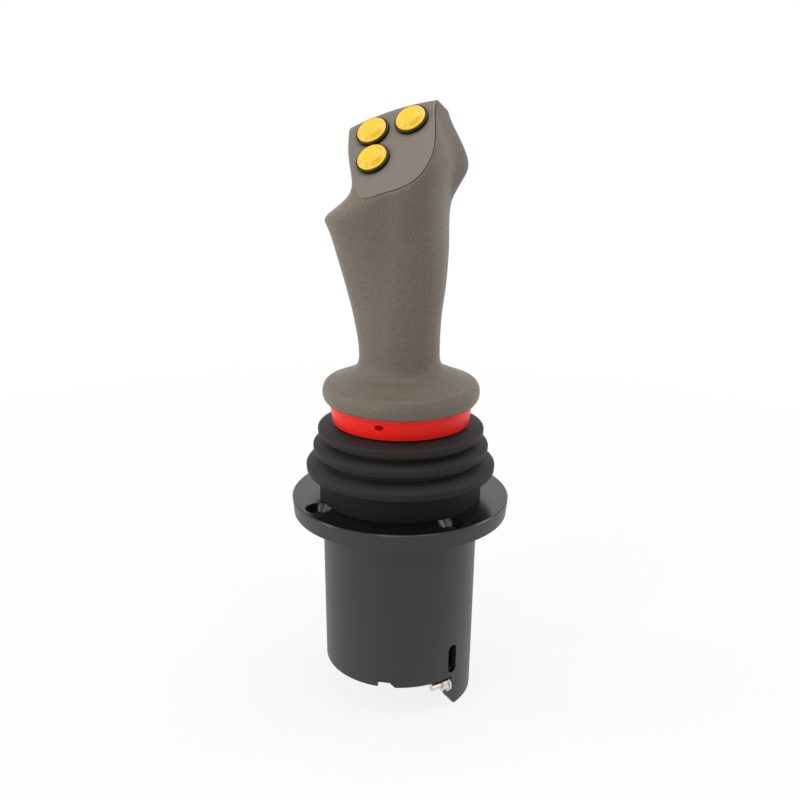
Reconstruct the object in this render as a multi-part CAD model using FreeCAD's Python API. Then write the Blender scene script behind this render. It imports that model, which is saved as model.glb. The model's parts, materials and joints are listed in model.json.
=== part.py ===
"""Panel mounted two axis joystick with a hand grip and three push buttons.

Lengths are millimetres. The origin is the centre of the flange's underside,
which is the face that rests on the panel. +Z points up the lever at rest, and
the operator sits on the -Y side.
"""
import FreeCAD, Part
import functools
import math
import os

V = FreeCAD.Vector
UP = V(0, 0, 1)

# Cutters reach well past the part
SLAB = 160.0
SPACE = 400.0

# Flange and can, one moulding
FLANGE_RADIUS = 55.5
FLANGE_THICKNESS = 8.7
FLANGE_DRAFT = 0.8
FLANGE_CHAMFER = 0.6
MOUNT_OFFSET = 0.65
MOUNT_HOLE = 6.5
MOUNT_COUNT = 4
COUNTERSINK = 13.0
CAN_RADIUS = 39.8
CAN_DRAFT = 0.9
CAN_DEPTH = 83.2
CAN_WALL = 3.0
WEB_DEPTH = 2.0
OPENING_RADIUS = 29.5
PARTING_RIB = 0.3
PARTING_RIB_WIDTH = 2.4
NOTCH_ANGLE = -88.0
NOTCH_WIDTH = 5.0
NOTCH_DEPTH = 4.0
WINDOW_ANGLE = -30.6
WINDOW_WIDTH = 5.7
WINDOW_TOP_RISE = 18.1
WINDOW_BOTTOM_RISE = 2.2

# Lug under the can's rim, with the earth terminal
LUG_REACH = 17.3
LUG_THICKNESS = 7.9
LUG_FACE_OFFSET = 9.55
LUG_FACE_ANGLE = -135.0
LUG_WIDTH = 20.0
LUG_CORNER = 4.0
STUD_DIAMETER = 4.0
STUD_LENGTH = 10.0
STUD_SEAT = 6.0
STUD_DROP = 5.8
WASHER_DIAMETER = 9.0
WASHER_THICKNESS = 1.0
NUT_WIDTH = 7.0
NUT_HEIGHT = 3.2

# Rubber bellows, with the spigot that its cuff grips
CUFF_RADIUS = 41.3
CUFF_HEIGHT = 10.5
CUFF_WALL = 3.0
SPIGOT_HEIGHT = 8.0
BELLOWS_WALL = 1.8
CREST_RADII = (48.3, 44.8, 42.1)
CREST_HEIGHTS = (23.3, 33.7, 43.0)
VALLEY_DEPTH = 5.6
NECK_RADIUS = 33.0
NECK_WALL = 3.0
NECK_LENGTH = 2.6

# Red clamp ring on the lever
CLAMP_BOTTOM = 47.7
CLAMP_TOP = 58.0
CLAMP_LOW_RADIUS = 34.5
CLAMP_HIGH_RADIUS = 36.5
CLAMP_WEB = 4.0
CLAMP_HUB_RADIUS = 14.0
CLAMP_HUB_DROP = 3.0
CLAMP_SPIGOT_DROP = 4.5
CLAMP_SPIGOT_WALL = 2.5
SCREW_ANGLE = -94.0
SCREW_DROP = 0.6
SCREW_HOLE = 3.4
GRUB_DIAMETER = 4.0
GRUB_LENGTH = 5.0

# Gimbal
PIVOT_HEIGHT = -14.0
PIN_DIAMETER = 6.0
RUNNING_CLEARANCE = 0.05
BUSH_WALL = 1.5
BUSH_FLANGE = 0.8
BUSH_FLANGE_WIDTH = 1.5
GIMBAL_OUTER = 22.0
GIMBAL_INNER = 15.5
GIMBAL_HEIGHT = 9.0
GIMBAL_ROUND = 1.5
PIN_SETBACK = 0.5
EAR_GAP = 1.5
EAR_THICKNESS = 5.0
EAR_WIDTH = 14.0
EAR_DROP = 7.0
FRAME_THICKNESS = 4.0
FRAME_INNER = 30.5
FRAME_CLEARANCE = 0.3
FRAME_SCREW_CIRCLE = 33.1
FRAME_SCREW = 3.0
FRAME_SCREW_LENGTH = 9.0
SCREW_HEAD = 5.0
SCREW_HEAD_HEIGHT = 2.0
SCREW_SOCKET = 0.5
SCREW_ROOM = 0.1
FIT = 0.02

# Pivot hub and lever tube
HUB_RADIUS = 11.0
HUB_HALF_HEIGHT = 11.0
HUB_SEAT = 7.0
HUB_BORE = 4.0
LEVER_RADIUS = 8.0
LEVER_BORE = 5.0
LEVER_TOP = 132.0

# Centring springs and angle sensors
SPRING_WIRE = 1.0
SPRING_GAP = 0.1
SPRING_SIDE_GAP = 0.4
SPRING_RADIUS = 5.2
SPRING_TURNS = 3
SPRING_LEG = 6.4
ARM_THICKNESS = 1.4
ARM_WIDTH = 4.0
ARM_PEG = 1.6
ARM_PEG_HEIGHT = 6.6
SPRING_SLOT = 5.4
FIXED_PEG_HEIGHT = 10.0
MAGNET_RADIUS = 4.0
MAGNET_THICKNESS = 2.0
MAGNET_GAP = 0.8
SENSOR_BOARD = (14.0, 14.0, 1.4)
SENSOR_CHIP = (5.0, 5.0, 0.5)
SENSOR_POST = 2.0
SENSOR_POST_MARGIN = 0.3

# Circuit board, cover and connector in the can
BOARD_RISE = 23.2
BOARD_THICKNESS = 1.6
BOARD_CLEARANCE = 0.4
BOARD_CHIPS = ((14.0, 14.0, 1.6, -8.0, 6.0), (8.0, 5.0, 1.6, 10.0, 8.0), (6.0, 9.0, 2.2, 12.0, -10.0))
CAPACITORS = ((-10.0, -14.0), (0.0, -16.0))
CAPACITOR_RADIUS = 4.0
CAPACITOR_HEIGHT = 9.0
BOARD_SCREW_LENGTH = 7.0
BOARD_SCREW_HEAD = 4.8
STANDOFF_RADIUS = 2.2
STANDOFF_ANGLE = 26.0
COVER_THICKNESS = 3.0
COVER_RECESS = 1.0
COVER_STEP = 0.8
COVER_CLEARANCE = 0.15
COVER_BOSS_RADIUS = 3.4
COVER_BOSS_HEIGHT = 14.0
COVER_BOSS_SINK = 1.0
COVER_SCREW_COUNT = 3
COVER_SCREW_LENGTH = 9.0
COVER_SCREW_START = 75.0
CONNECTOR_SIZE = (24.0, 14.0)
CONNECTOR_CORNER = 1.5
CONNECTOR_ROOM = 0.3
PIN_COLUMN_COUNT = 6
PIN_ROW_COUNT = 2
PIN_PITCH = 3.0
PIN_ROW_PITCH = 3.6
PIN_WIDTH = 0.8
PIN_LENGTH = 6.0
PIN_SEAT = 3.0
LED_RADIUS = 1.5
LED_RISE = 10.7
LED_LENGTH = 4.0
LED_ANGLE = -34.0
LED_LEAD = 0.5
LED_LEAD_PITCH = 1.4
LED_SETBACK = 0.6

# Grip
DISC_RADIUS = 39.4
DISC_THICKNESS = 10.4
DISC_CROWN = 3.2
DISC_CROWN_FULLNESS = 0.6
DISC_EDGE = 3.6
DISC_LIFT = 0.3
SHELL_WALL = 3.0
SPLIT_DEPTH = 12.0
CORE_WALL = 4.0
CORE_TOP = 140.0
CORE_FLANGE = 24.0
CORE_FLANGE_HEIGHT = 3.0
RIB_HEIGHTS = (90.0, 124.0, 150.0)
RIB_THICKNESS = 3.0
SHELL_SCREW = 3.0
SHELL_BOSS = 3.4
SHELL_SCREW_SEAT = 2.5
SHELL_THREAD = 3.6
SHELL_HOLE_ROOM = 0.15
SHELL_SINK_ROOM = 0.25
HEAD_ROLL = 17.0
FACE_SLOPE = 45.0
FACE_CENTRE = (-2.6, -10.3, 180.0)
FACE_TOP_EDGE = 24.4
TOP_SLOPE = 28.0
CORNER_SLOPE = 45.0
CORNER_REACH = 184.0
PLATE_MARGIN = 1.4
PLATE_GAP = 0.25
PLATE_THICKNESS = 2.5

# Push buttons, on a square grid with one place left empty
BUTTON_PITCH_X = 19.4
BUTTON_PITCH_Y = 17.3
BUTTON_FIRST = (-9.4, 14.8)
BUTTON_PLACES = ((0, 0), (1, 0), (0, 1))
BUTTON_TRAVEL = 1.5
CAP_RADIUS = 7.25
CAP_SKIRT_RADIUS = 5.6
CAP_RIM = 0.8
CAP_CROWN = 0.9
CAP_PLATEAU = 5.22
CAP_EDGE = 0.3
CAP_SHOULDER = ((0.6, 0.6), (2.0, 0.9))
CAP_CLEARANCE = 0.15
BEZEL_RADIUS = 8.3
BEZEL_HEIGHT = 2.2
BEZEL_FLOOR = 0.4
BARREL_RADIUS = 7.2
BARREL_LENGTH = 9.0
NUT_RING_RADIUS = 7.9
NUT_RING_HEIGHT = 2.0
NUT_ROOM = 0.3
SWITCH_SIZE = 11.0
SWITCH_LENGTH = 8.0
SWITCH_BORE = 4.8
SWITCH_TAG = (0.8, 2.4, 3.0)
SWITCH_TAG_SEAT = 0.1
STEM_RADIUS = 1.8
STEM_REACH = 1.0
BUTTON_SPRING_RADIUS = 4.2
BUTTON_SPRING_WIRE = 0.7
BUTTON_SPRING_TURNS = 5.5

# Stations up the grip: height, centre, left, right, front and back reach
GRIP_STATIONS = (
    (71.6, -0.5, 28.0, 28.0, 29.0, 29.0),
    (73.6, -0.8, 23.4, 23.4, 24.4, 24.4),
    (77.2, -1.0, 20.5, 20.5, 21.7, 21.7),
    (84.0, -1.0, 19.6, 19.8, 21.0, 21.2),
    (100.0, -0.7, 19.8, 20.0, 21.2, 22.0),
    (116.0, 0.0, 20.8, 21.0, 22.0, 23.0),
    (132.0, 0.7, 21.8, 20.9, 23.4, 24.0),
    (146.0, 2.0, 22.6, 19.2, 25.6, 25.6),
    (158.0, 3.0, 23.4, 18.8, 27.8, 27.6),
    (168.0, 2.8, 22.3, 20.4, 28.4, 29.0),
    (186.0, -4.6, 21.9, 21.2, 28.5, 29.5),
    (192.0, -6.8, 22.0, 21.2, 28.5, 29.5),
    (198.0, -8.6, 16.0, 20.2, 28.5, 29.5),
    (216.0, -14.1, 16.0, 20.2, 28.5, 29.5),
)
ROLL_START = 128.0
ROLL_END = 170.0
LEDGE_BASE = 82.0
LEDGE_TIP = 157.0
LEDGE_END = 170.0
LEDGE_REACH = 17.5
LEDGE_ANGLE = 190.0
LEDGE_SPREAD = 75.0
LEDGE_RISE_POWER = 1.25
LEDGE_FALL_POWER = 1.6
FLARE_START = 149.0
FLARE_END = 164.0
FLARE_REACH = 6.0
FLARE_ANGLE = 28.0
FLARE_SPREAD = 38.0
SECTION_POINT_COUNT = 28
SECTION_HEIGHTS = (
    71.6, 72.6, 74.2, 77.0, 80.5, 85.5, 91.0, 97.0, 103.0, 109.0, 115.0, 121.0, 127.0, 133.0,
    138.0, 142.5, 146.5, 150.0, 153.0, 155.5, 158.0, 161.0, 164.5, 168.5, 173.0, 178.0, 183.0,
    187.0, 190.5, 194.0, 198.0, 203.0, 209.0, 216.0,
)
HEAD_START = 100.0
HEAD_END = 160.0
ROUNDNESS = {"front_right": 2.1, "front_left": 4.2, "back_left": 3.0, "back_right": 3.0}
NECK_ROUNDNESS = 2.1


def polar(radius, degrees, height=0.0):
    """A point at a radius and angle round the Z axis."""
    angle = math.radians(degrees)
    return V(radius * math.cos(angle), radius * math.sin(angle), height)


def disc(radius, low, high, x=0.0, y=0.0):
    """An upright cylinder between two heights."""
    return Part.makeCylinder(radius, high - low, V(x, y, low), UP)


def tube(outer, inner, low, high):
    """An upright tube round the Z axis."""
    return disc(outer, low, high).cut(disc(inner, low, high))


def rod(radius, start, end):
    """A cylinder from one point to another."""
    way = end - start
    return Part.makeCylinder(radius, way.Length, start, way)


def pipe(outer, inner, start, end):
    """A tube from one point to another."""
    return rod(outer, start, end).cut(rod(inner, start, end))


def block(size, centre):
    """A box of a size about its centre."""
    corner = centre - V(*size) * 0.5
    return Part.makeBox(size[0], size[1], size[2], corner)


def revolved(profile):
    """A solid turned about Z from (radius, height) corners."""
    points = [V(radius, 0, height) for radius, height in profile]
    face = Part.Face(Part.makePolygon(points + points[:1]))
    return face.revolve(V(0, 0, 0), UP, 360)


def hexagon(width, height):
    """A hexagonal prism standing on the origin, by its width across flats."""
    corner = width / math.sqrt(3)
    points = [polar(corner, 60 * index) for index in range(7)]
    return Part.Face(Part.makePolygon(points)).extrude(V(0, 0, height))


def aimed(shape, origin, direction):
    """A shape made along +Z at the origin, moved to a place and turned to a direction."""
    moved = shape.copy()
    moved.Placement = FreeCAD.Placement(origin, FreeCAD.Rotation(UP, direction))
    return moved


def group(shapes):
    """Separate solids that share one node."""
    return Part.makeCompound(shapes)


def fused(shapes):
    """One solid from several that meet."""
    return shapes[0].multiFuse(shapes[1:]).removeSplitter()


def screw_solid(diameter, length, head=SCREW_HEAD, head_height=SCREW_HEAD_HEIGHT):
    """A cylinder head screw: the head stands on the origin's -Z side, the shank points up."""
    shank = disc(diameter / 2, 0, length)
    cap = disc(head / 2, -head_height, 0)
    socket = hexagon(head * SCREW_SOCKET, head_height * SCREW_SOCKET)
    socket.translate(V(0, 0, -head_height))
    return fused([shank, cap]).cut(socket)


# Flange and can

def can_radius(height):
    """The can's outer radius at a height, with its draft."""
    return CAN_RADIUS + CAN_DRAFT * height / CAN_DEPTH


def can_bore():
    """The can's inner radius, set by the wall at the rim."""
    return can_radius(-CAN_DEPTH) - CAN_WALL


def mount_radius():
    """The radius of the fixing circle, between the can and the flange's edge."""
    return (FLANGE_RADIUS + CAN_RADIUS) / 2 - MOUNT_OFFSET


def mount_angles():
    """The angles of the four fixing holes."""
    return [360.0 / MOUNT_COUNT * (index + 0.5) for index in range(MOUNT_COUNT)]


def cover_seat():
    """The height at which the base cover's top lies."""
    return -CAN_DEPTH + COVER_RECESS + COVER_THICKNESS


def cover_angles():
    """The angles of the cover screws."""
    return [COVER_SCREW_START + 360.0 / COVER_SCREW_COUNT * index for index in range(COVER_SCREW_COUNT)]


def cover_screw_places():
    """The centres of the cover screws and their bosses."""
    radius = can_bore() - COVER_BOSS_RADIUS + COVER_BOSS_SINK
    return [polar(radius, angle) for angle in cover_angles()]


def lug():
    """The tab below the rim: a part ring between two parallel faces, one for the terminal."""
    bottom = -CAN_DEPTH - LUG_REACH
    inner = can_radius(-CAN_DEPTH) - LUG_THICKNESS
    step = can_bore() + COVER_STEP
    ring = revolved([
        (inner, bottom),
        (can_radius(bottom), bottom),
        (can_radius(cover_seat()), cover_seat()),
        (step, cover_seat()),
        (step, -CAN_DEPTH),
        (inner, -CAN_DEPTH),
    ])
    body = Part.makeBox(LUG_WIDTH, 2 * CAN_RADIUS, 2 * LUG_REACH,
                        V(-LUG_FACE_OFFSET - LUG_WIDTH, 0, bottom))
    low_edges = [edge for edge in body.Edges
                 if edge.BoundBox.ZMax < bottom + 0.1 and edge.BoundBox.YLength > LUG_REACH]
    body = body.makeFillet(LUG_CORNER, low_edges)
    body.rotate(V(0, 0, 0), UP, LUG_FACE_ANGLE)
    return ring.common(body)


def stud_frame():
    """The foot of the earth stud on the lug's flat face, and its direction."""
    way = polar(1, LUG_FACE_ANGLE)
    side = polar(1, LUG_FACE_ANGLE + 90)
    middle = can_radius(-CAN_DEPTH) - LUG_THICKNESS / 2
    along = math.sqrt(middle ** 2 - LUG_FACE_OFFSET ** 2)
    foot = way * -LUG_FACE_OFFSET + side * along
    return V(foot.x, foot.y, -CAN_DEPTH - STUD_DROP), way


def countersunk_hole(angle):
    """A fixing hole with its countersink, as a cutter."""
    centre = polar(mount_radius(), angle)
    sink = (COUNTERSINK - MOUNT_HOLE) / 2
    hole = disc(MOUNT_HOLE / 2, -1, FLANGE_THICKNESS + 1, centre.x, centre.y)
    cone = Part.makeCone(MOUNT_HOLE / 2, COUNTERSINK / 2 + 1, sink + 1,
                         V(centre.x, centre.y, FLANGE_THICKNESS - sink))
    return hole.fuse(cone)


def housing():
    """Flange, can, bellows spigot and lug as one moulding."""
    top = FLANGE_THICKNESS
    spigot_outer = CUFF_RADIUS - CUFF_WALL
    body = revolved([
        (OPENING_RADIUS, -WEB_DEPTH),
        (can_bore(), -WEB_DEPTH),
        (can_bore(), cover_seat()),
        (can_bore() + COVER_STEP, cover_seat()),
        (can_bore() + COVER_STEP, -CAN_DEPTH),
        (can_radius(-CAN_DEPTH), -CAN_DEPTH),
        (can_radius(0), 0),
        (FLANGE_RADIUS - FLANGE_DRAFT, 0),
        (FLANGE_RADIUS, top - FLANGE_CHAMFER),
        (FLANGE_RADIUS - FLANGE_CHAMFER, top),
        (spigot_outer, top),
        (spigot_outer, top + SPIGOT_HEIGHT - FLANGE_CHAMFER),
        (spigot_outer - FLANGE_CHAMFER, top + SPIGOT_HEIGHT),
        (OPENING_RADIUS, top + SPIGOT_HEIGHT),
    ])
    bosses = []
    for centre in cover_screw_places():
        boss = disc(COVER_BOSS_RADIUS, cover_seat(), cover_seat() + COVER_BOSS_HEIGHT, centre.x, centre.y)
        bosses.append(boss)
    rib = Part.makeBox(PARTING_RIB + 2, PARTING_RIB_WIDTH, top - FLANGE_CHAMFER,
                       V(FLANGE_RADIUS - FLANGE_DRAFT - 2, -PARTING_RIB_WIDTH / 2, 0))
    rib.rotate(V(0, 0, 0), UP, -90)
    solid = fused([body, lug(), rib] + bosses)
    for angle in mount_angles():
        solid = solid.cut(countersunk_hole(angle))
    for angle in frame_screw_angles():
        centre = polar(FRAME_SCREW_CIRCLE, angle)
        depth = FRAME_SCREW_LENGTH - FRAME_THICKNESS
        hole = disc(FRAME_SCREW / 2 + FIT, -WEB_DEPTH - 1, -WEB_DEPTH + depth + 1, centre.x, centre.y)
        solid = solid.cut(hole)
    depth = COVER_SCREW_LENGTH - COVER_THICKNESS + 1
    for centre in cover_screw_places():
        hole = disc(FRAME_SCREW / 2 + FIT, cover_seat() - 1, cover_seat() + depth, centre.x, centre.y)
        solid = solid.cut(hole)
    foot, way = stud_frame()
    solid = solid.cut(rod(STUD_DIAMETER / 2 + FIT, foot + way, foot - way * (STUD_SEAT + FIT)))
    return solid.cut(window()).cut(notch())


def window():
    """The upright slot in the can through which the lamp shows, as a cutter."""
    half = WINDOW_WIDTH / 2
    low = WINDOW_BOTTOM_RISE - CAN_DEPTH + half
    high = WINDOW_TOP_RISE - CAN_DEPTH - half
    inner = polar(can_bore() - 3, WINDOW_ANGLE)
    outer = polar(CAN_RADIUS + 3, WINDOW_ANGLE)
    ends = [rod(half, inner + V(0, 0, z), outer + V(0, 0, z)) for z in (low, high)]
    middle = Part.makeBox(CAN_RADIUS + 6 - can_bore(), WINDOW_WIDTH, high - low,
                          V(can_bore() - 3, -half, low))
    middle.rotate(V(0, 0, 0), UP, WINDOW_ANGLE)
    return fused([middle] + ends)


def notch():
    """The keying notch in the can's rim: one side upright, the other sloped, as a cutter."""
    half = NOTCH_WIDTH / 2
    reach = CAN_RADIUS + 3
    start = can_bore() - 2
    low = -CAN_DEPTH - 1
    high = -CAN_DEPTH + NOTCH_DEPTH
    points = [
        V(start, -half, low), V(start, -half, high), V(start, half, high),
        V(start, half + NOTCH_DEPTH + 1, low), V(start, -half, low),
    ]
    cutter = Part.Face(Part.makePolygon(points)).extrude(V(reach - start, 0, 0))
    cutter.rotate(V(0, 0, 0), UP, NOTCH_ANGLE)
    return cutter


def earth_stud():
    """The plain stud pressed into the lug."""
    foot, way = stud_frame()
    return rod(STUD_DIAMETER / 2, foot - way * STUD_SEAT, foot + way * STUD_LENGTH)


def earth_washer():
    """The washer against the lug's flat face."""
    foot, way = stud_frame()
    end = foot + way * WASHER_THICKNESS
    return pipe(WASHER_DIAMETER / 2, STUD_DIAMETER / 2 + FIT, foot, end)


def earth_nut():
    """The hexagon nut that clamps the washer."""
    foot, way = stud_frame()
    nut = hexagon(NUT_WIDTH, NUT_HEIGHT).cut(disc(STUD_DIAMETER / 2 + FIT, -1, NUT_HEIGHT + 1))
    return aimed(nut, foot + way * WASHER_THICKNESS, way)


# Bellows and clamp ring

def clamp_spigot_radius():
    """The outer radius of the clamp ring's lower spigot, which the bellows neck grips."""
    return NECK_RADIUS - NECK_WALL


def bellows_places(wall):
    """The points of a bellows line, inset by a wall: cuff, crest, valley and so on up to the neck."""
    base = FLANGE_THICKNESS + CUFF_HEIGHT
    places = [(CUFF_RADIUS - wall, base)]
    for index, (crest, height) in enumerate(zip(CREST_RADII, CREST_HEIGHTS)):
        places.append((crest - wall, height))
        if index + 1 < len(CREST_RADII):
            middle = (height + CREST_HEIGHTS[index + 1]) / 2
            places.append((CREST_RADII[index + 1] - VALLEY_DEPTH - wall, middle))
    places.append((NECK_RADIUS - wall, CLAMP_BOTTOM - NECK_LENGTH))
    return [V(radius, 0, height) for radius, height in places]


def bellows_arcs(places):
    """One arc over each crest of the bellows."""
    return [Part.Arc(*places[index:index + 3]).toShape() for index in range(0, len(places) - 2, 2)]


def polyline(points):
    """Straight edges from point to point."""
    return [Part.makeLine(start, end) for start, end in zip(points, points[1:])]


def bellows():
    """The rubber bellows: cuff, three convolutions and neck, with a thin wall."""
    outer = bellows_places(0)
    inner = bellows_places(BELLOWS_WALL)
    cuff_inner = CUFF_RADIUS - CUFF_WALL + FIT
    neck_inner = clamp_spigot_radius() + FIT
    base = FLANGE_THICKNESS + CUFF_HEIGHT
    lower = [inner[0], V(cuff_inner, 0, base), V(cuff_inner, 0, FLANGE_THICKNESS),
             V(CUFF_RADIUS, 0, FLANGE_THICKNESS), outer[0]]
    upper = [outer[-1], V(NECK_RADIUS, 0, CLAMP_BOTTOM), V(neck_inner, 0, CLAMP_BOTTOM),
             V(neck_inner, 0, inner[-1].z), inner[-1]]
    edges = polyline(lower) + bellows_arcs(outer) + polyline(upper) + bellows_arcs(inner)
    wire = Part.Wire(Part.sortEdges(edges)[0])
    return Part.Face(wire).revolve(V(0, 0, 0), UP, 360)


def clamp_screw_height():
    """The height of the hole in the rim and of the grub screw behind it."""
    return (CLAMP_BOTTOM + CLAMP_TOP) / 2 - SCREW_DROP


def clamp_ring():
    """The red ring: rim, web, hub on the lever, and a spigot for the bellows."""
    bore = LEVER_RADIUS + FIT
    web_low = CLAMP_TOP - CLAMP_WEB
    spigot = clamp_spigot_radius()
    spigot_low = CLAMP_BOTTOM - CLAMP_SPIGOT_DROP
    solid = revolved([
        (bore, CLAMP_BOTTOM - CLAMP_HUB_DROP),
        (CLAMP_HUB_RADIUS, CLAMP_BOTTOM - CLAMP_HUB_DROP),
        (CLAMP_HUB_RADIUS, web_low),
        (spigot - CLAMP_SPIGOT_WALL, web_low),
        (spigot - CLAMP_SPIGOT_WALL, spigot_low),
        (spigot, spigot_low),
        (spigot, CLAMP_BOTTOM),
        (CLAMP_LOW_RADIUS, CLAMP_BOTTOM),
        (CLAMP_HIGH_RADIUS, CLAMP_TOP - FLANGE_CHAMFER),
        (CLAMP_HIGH_RADIUS - FLANGE_CHAMFER, CLAMP_TOP),
        (bore, CLAMP_TOP),
    ])
    height = clamp_screw_height()
    hole = rod(SCREW_HOLE / 2, polar(spigot - CLAMP_SPIGOT_WALL - 1, SCREW_ANGLE, height),
               polar(CLAMP_HIGH_RADIUS + 2, SCREW_ANGLE, height))
    thread = rod(GRUB_DIAMETER / 2 + FIT, polar(LEVER_RADIUS - 1, SCREW_ANGLE, height),
                 polar(CLAMP_HUB_RADIUS + 1, SCREW_ANGLE, height))
    return solid.cut(hole).cut(thread)


def clamp_screw():
    """The socket grub screw that locks the clamp ring's hub to the lever."""
    height = clamp_screw_height()
    start = polar(LEVER_RADIUS + FIT, SCREW_ANGLE, height)
    way = polar(1, SCREW_ANGLE)
    body = rod(GRUB_DIAMETER / 2, start, start + way * GRUB_LENGTH)
    socket = aimed(hexagon(GRUB_DIAMETER / 2, 2), start + way * (GRUB_LENGTH - 2), way)
    return body.cut(socket)


# Gimbal

def ear_inner():
    """Where the inner faces of the frame's ears stand."""
    return GIMBAL_OUTER + EAR_GAP


def ear_outer():
    """Where the outer faces of the frame's ears stand."""
    return ear_inner() + EAR_THICKNESS


def bush_outer():
    """The outer radius of a pivot bush."""
    return PIN_DIAMETER / 2 + RUNNING_CLEARANCE + BUSH_WALL


def pivot_point(x=0.0, y=0.0, z=0.0):
    """A point counted from the centre of the gimbal."""
    return V(x, y, PIVOT_HEIGHT + z)


def frame_screw_angles():
    """The angles of the screws that hold the gimbal frame."""
    return [45.0, 135.0, 225.0, 315.0]


def standoff_places():
    """Centres of the pillars that carry the circuit board."""
    angles = [STANDOFF_ANGLE, 180 - STANDOFF_ANGLE, 180 + STANDOFF_ANGLE, 360 - STANDOFF_ANGLE]
    return [polar(FRAME_SCREW_CIRCLE, angle) for angle in angles]


def gimbal_frame():
    """The ring under the flange, with two ears that carry the outer pivots."""
    low = -WEB_DEPTH - FRAME_THICKNESS
    outer = can_bore() - FRAME_CLEARANCE
    ring = tube(outer, FRAME_INNER, low, -WEB_DEPTH)
    parts = [ring]
    ear_low = PIVOT_HEIGHT - EAR_DROP
    for side in (-1, 1):
        ear = Part.makeBox(EAR_THICKNESS, EAR_WIDTH, -WEB_DEPTH - ear_low,
                           V(ear_inner(), -EAR_WIDTH / 2, ear_low))
        bridge = Part.makeBox(outer - ear_inner() - 2, EAR_WIDTH, FRAME_THICKNESS,
                              V(ear_inner(), -EAR_WIDTH / 2, low))
        arm = ear.fuse(bridge)
        if side < 0:
            arm.rotate(V(0, 0, 0), UP, 180)
        parts.append(arm)
    slot = Part.makeBox(outer - ear_outer() + 1, SPRING_SLOT, 2 * FRAME_THICKNESS,
                        V(ear_outer(), -SPRING_SLOT / 2, low - FRAME_THICKNESS / 2))
    solid = fused(parts).cut(slot)
    solid = solid.cut(rod(bush_outer() + FIT, pivot_point(-ear_outer() - 1), pivot_point(ear_outer() + 1)))
    for angle in frame_screw_angles():
        centre = polar(FRAME_SCREW_CIRCLE, angle)
        hole = disc(FRAME_SCREW / 2 + FIT, low - 1, -WEB_DEPTH + 1, centre.x, centre.y)
        solid = solid.cut(hole)
    posts = []
    for y, z in sensor_post_places():
        start = pivot_point(-ear_outer() + 1, y, z)
        end = pivot_point(-sensor_board_start(ear_outer()), y, z)
        posts.append(rod(SENSOR_POST / 2, start, end))
    return fused([solid, spring_peg(ear_outer())] + posts)


def frame_screws():
    """Four socket screws that hold the frame up against the flange."""
    screws = []
    for angle in frame_screw_angles():
        centre = polar(FRAME_SCREW_CIRCLE, angle, -WEB_DEPTH - FRAME_THICKNESS)
        screws.append(aimed(screw_solid(FRAME_SCREW, FRAME_SCREW_LENGTH), centre, UP))
    return group(screws)


def bush(inner_face, outer_face):
    """A flanged plain bush along +X, its flange on the inner side."""
    inner = PIN_DIAMETER / 2 + RUNNING_CLEARANCE
    sleeve = pipe(bush_outer(), inner, pivot_point(inner_face), pivot_point(outer_face))
    collar = pipe(bush_outer() + BUSH_FLANGE_WIDTH, inner,
                  pivot_point(inner_face - BUSH_FLANGE), pivot_point(inner_face))
    return fused([sleeve, collar])


def both_sides(shape, turn=0.0):
    """A shape made on the +X side, and its copy on the far side, turned about Z."""
    copies = []
    for angle in (turn, turn + 180):
        copy = shape.copy()
        copy.rotate(V(0, 0, 0), UP, angle)
        copies.append(copy)
    return group(copies)


def pivot_bushes_x():
    """The two bushes in the frame's ears."""
    return both_sides(bush(ear_inner(), ear_outer()))


def pivot_bushes_y():
    """The two bushes in the gimbal ring, flanges towards the hub."""
    return both_sides(bush(GIMBAL_INNER, GIMBAL_OUTER), 90)


def gimbal_ring():
    """The ring between the frame and the hub, flat where the pins go through."""
    half = GIMBAL_HEIGHT / 2
    ring = tube(GIMBAL_OUTER + GIMBAL_ROUND, GIMBAL_INNER - GIMBAL_ROUND,
                PIVOT_HEIGHT - half, PIVOT_HEIGHT + half)
    ring = ring.common(block((GIMBAL_OUTER * 2, GIMBAL_OUTER * 2, GIMBAL_HEIGHT * 2), pivot_point()))
    hollow = block((GIMBAL_INNER * 2, GIMBAL_INNER * 2, GIMBAL_HEIGHT * 2), pivot_point())
    round_hole = disc(GIMBAL_INNER + GIMBAL_ROUND, PIVOT_HEIGHT - half, PIVOT_HEIGHT + half)
    ring = ring.cut(hollow.common(round_hole))
    pin_hole = PIN_DIAMETER / 2 + FIT
    ring = ring.cut(rod(pin_hole, pivot_point(-GIMBAL_OUTER - 2), pivot_point(GIMBAL_OUTER + 2)))
    bush_hole = bush_outer() + FIT
    ring = ring.cut(rod(bush_hole, pivot_point(0, -GIMBAL_OUTER - 2), pivot_point(0, GIMBAL_OUTER + 2)))
    posts = []
    for x, z in sensor_post_places():
        start = pivot_point(x, -GIMBAL_OUTER + 1, z)
        end = pivot_point(x, -sensor_board_start(GIMBAL_OUTER), z)
        posts.append(rod(SENSOR_POST / 2, start, end))
    peg = spring_peg(GIMBAL_OUTER)
    tab_top = FIXED_PEG_HEIGHT + ARM_PEG
    tab = Part.makeBox(EAR_THICKNESS / 2, ARM_WIDTH, tab_top, pivot_point(GIMBAL_OUTER - EAR_THICKNESS / 2,
                                                                          -ARM_WIDTH / 2, 0))
    tab = tab.cut(rod(bush_hole, pivot_point(), pivot_point(GIMBAL_OUTER + 1)))
    upstand = fused([tab, peg])
    upstand.rotate(V(0, 0, 0), UP, 90)
    return fused([ring, upstand] + posts)


def pin_start_x():
    """The inner end of an outer pivot pin, flush with the gimbal ring's inner flat."""
    return GIMBAL_INNER + PIN_SETBACK


def magnet_start(face):
    """Where the magnet cup begins outside a bearing face."""
    return face + MAGNET_GAP


def sensor_board_start(face):
    """Where the sensor board's near face lies outside a bearing face."""
    return magnet_start(face) + MAGNET_THICKNESS + SENSOR_CHIP[2] + MAGNET_GAP


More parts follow.
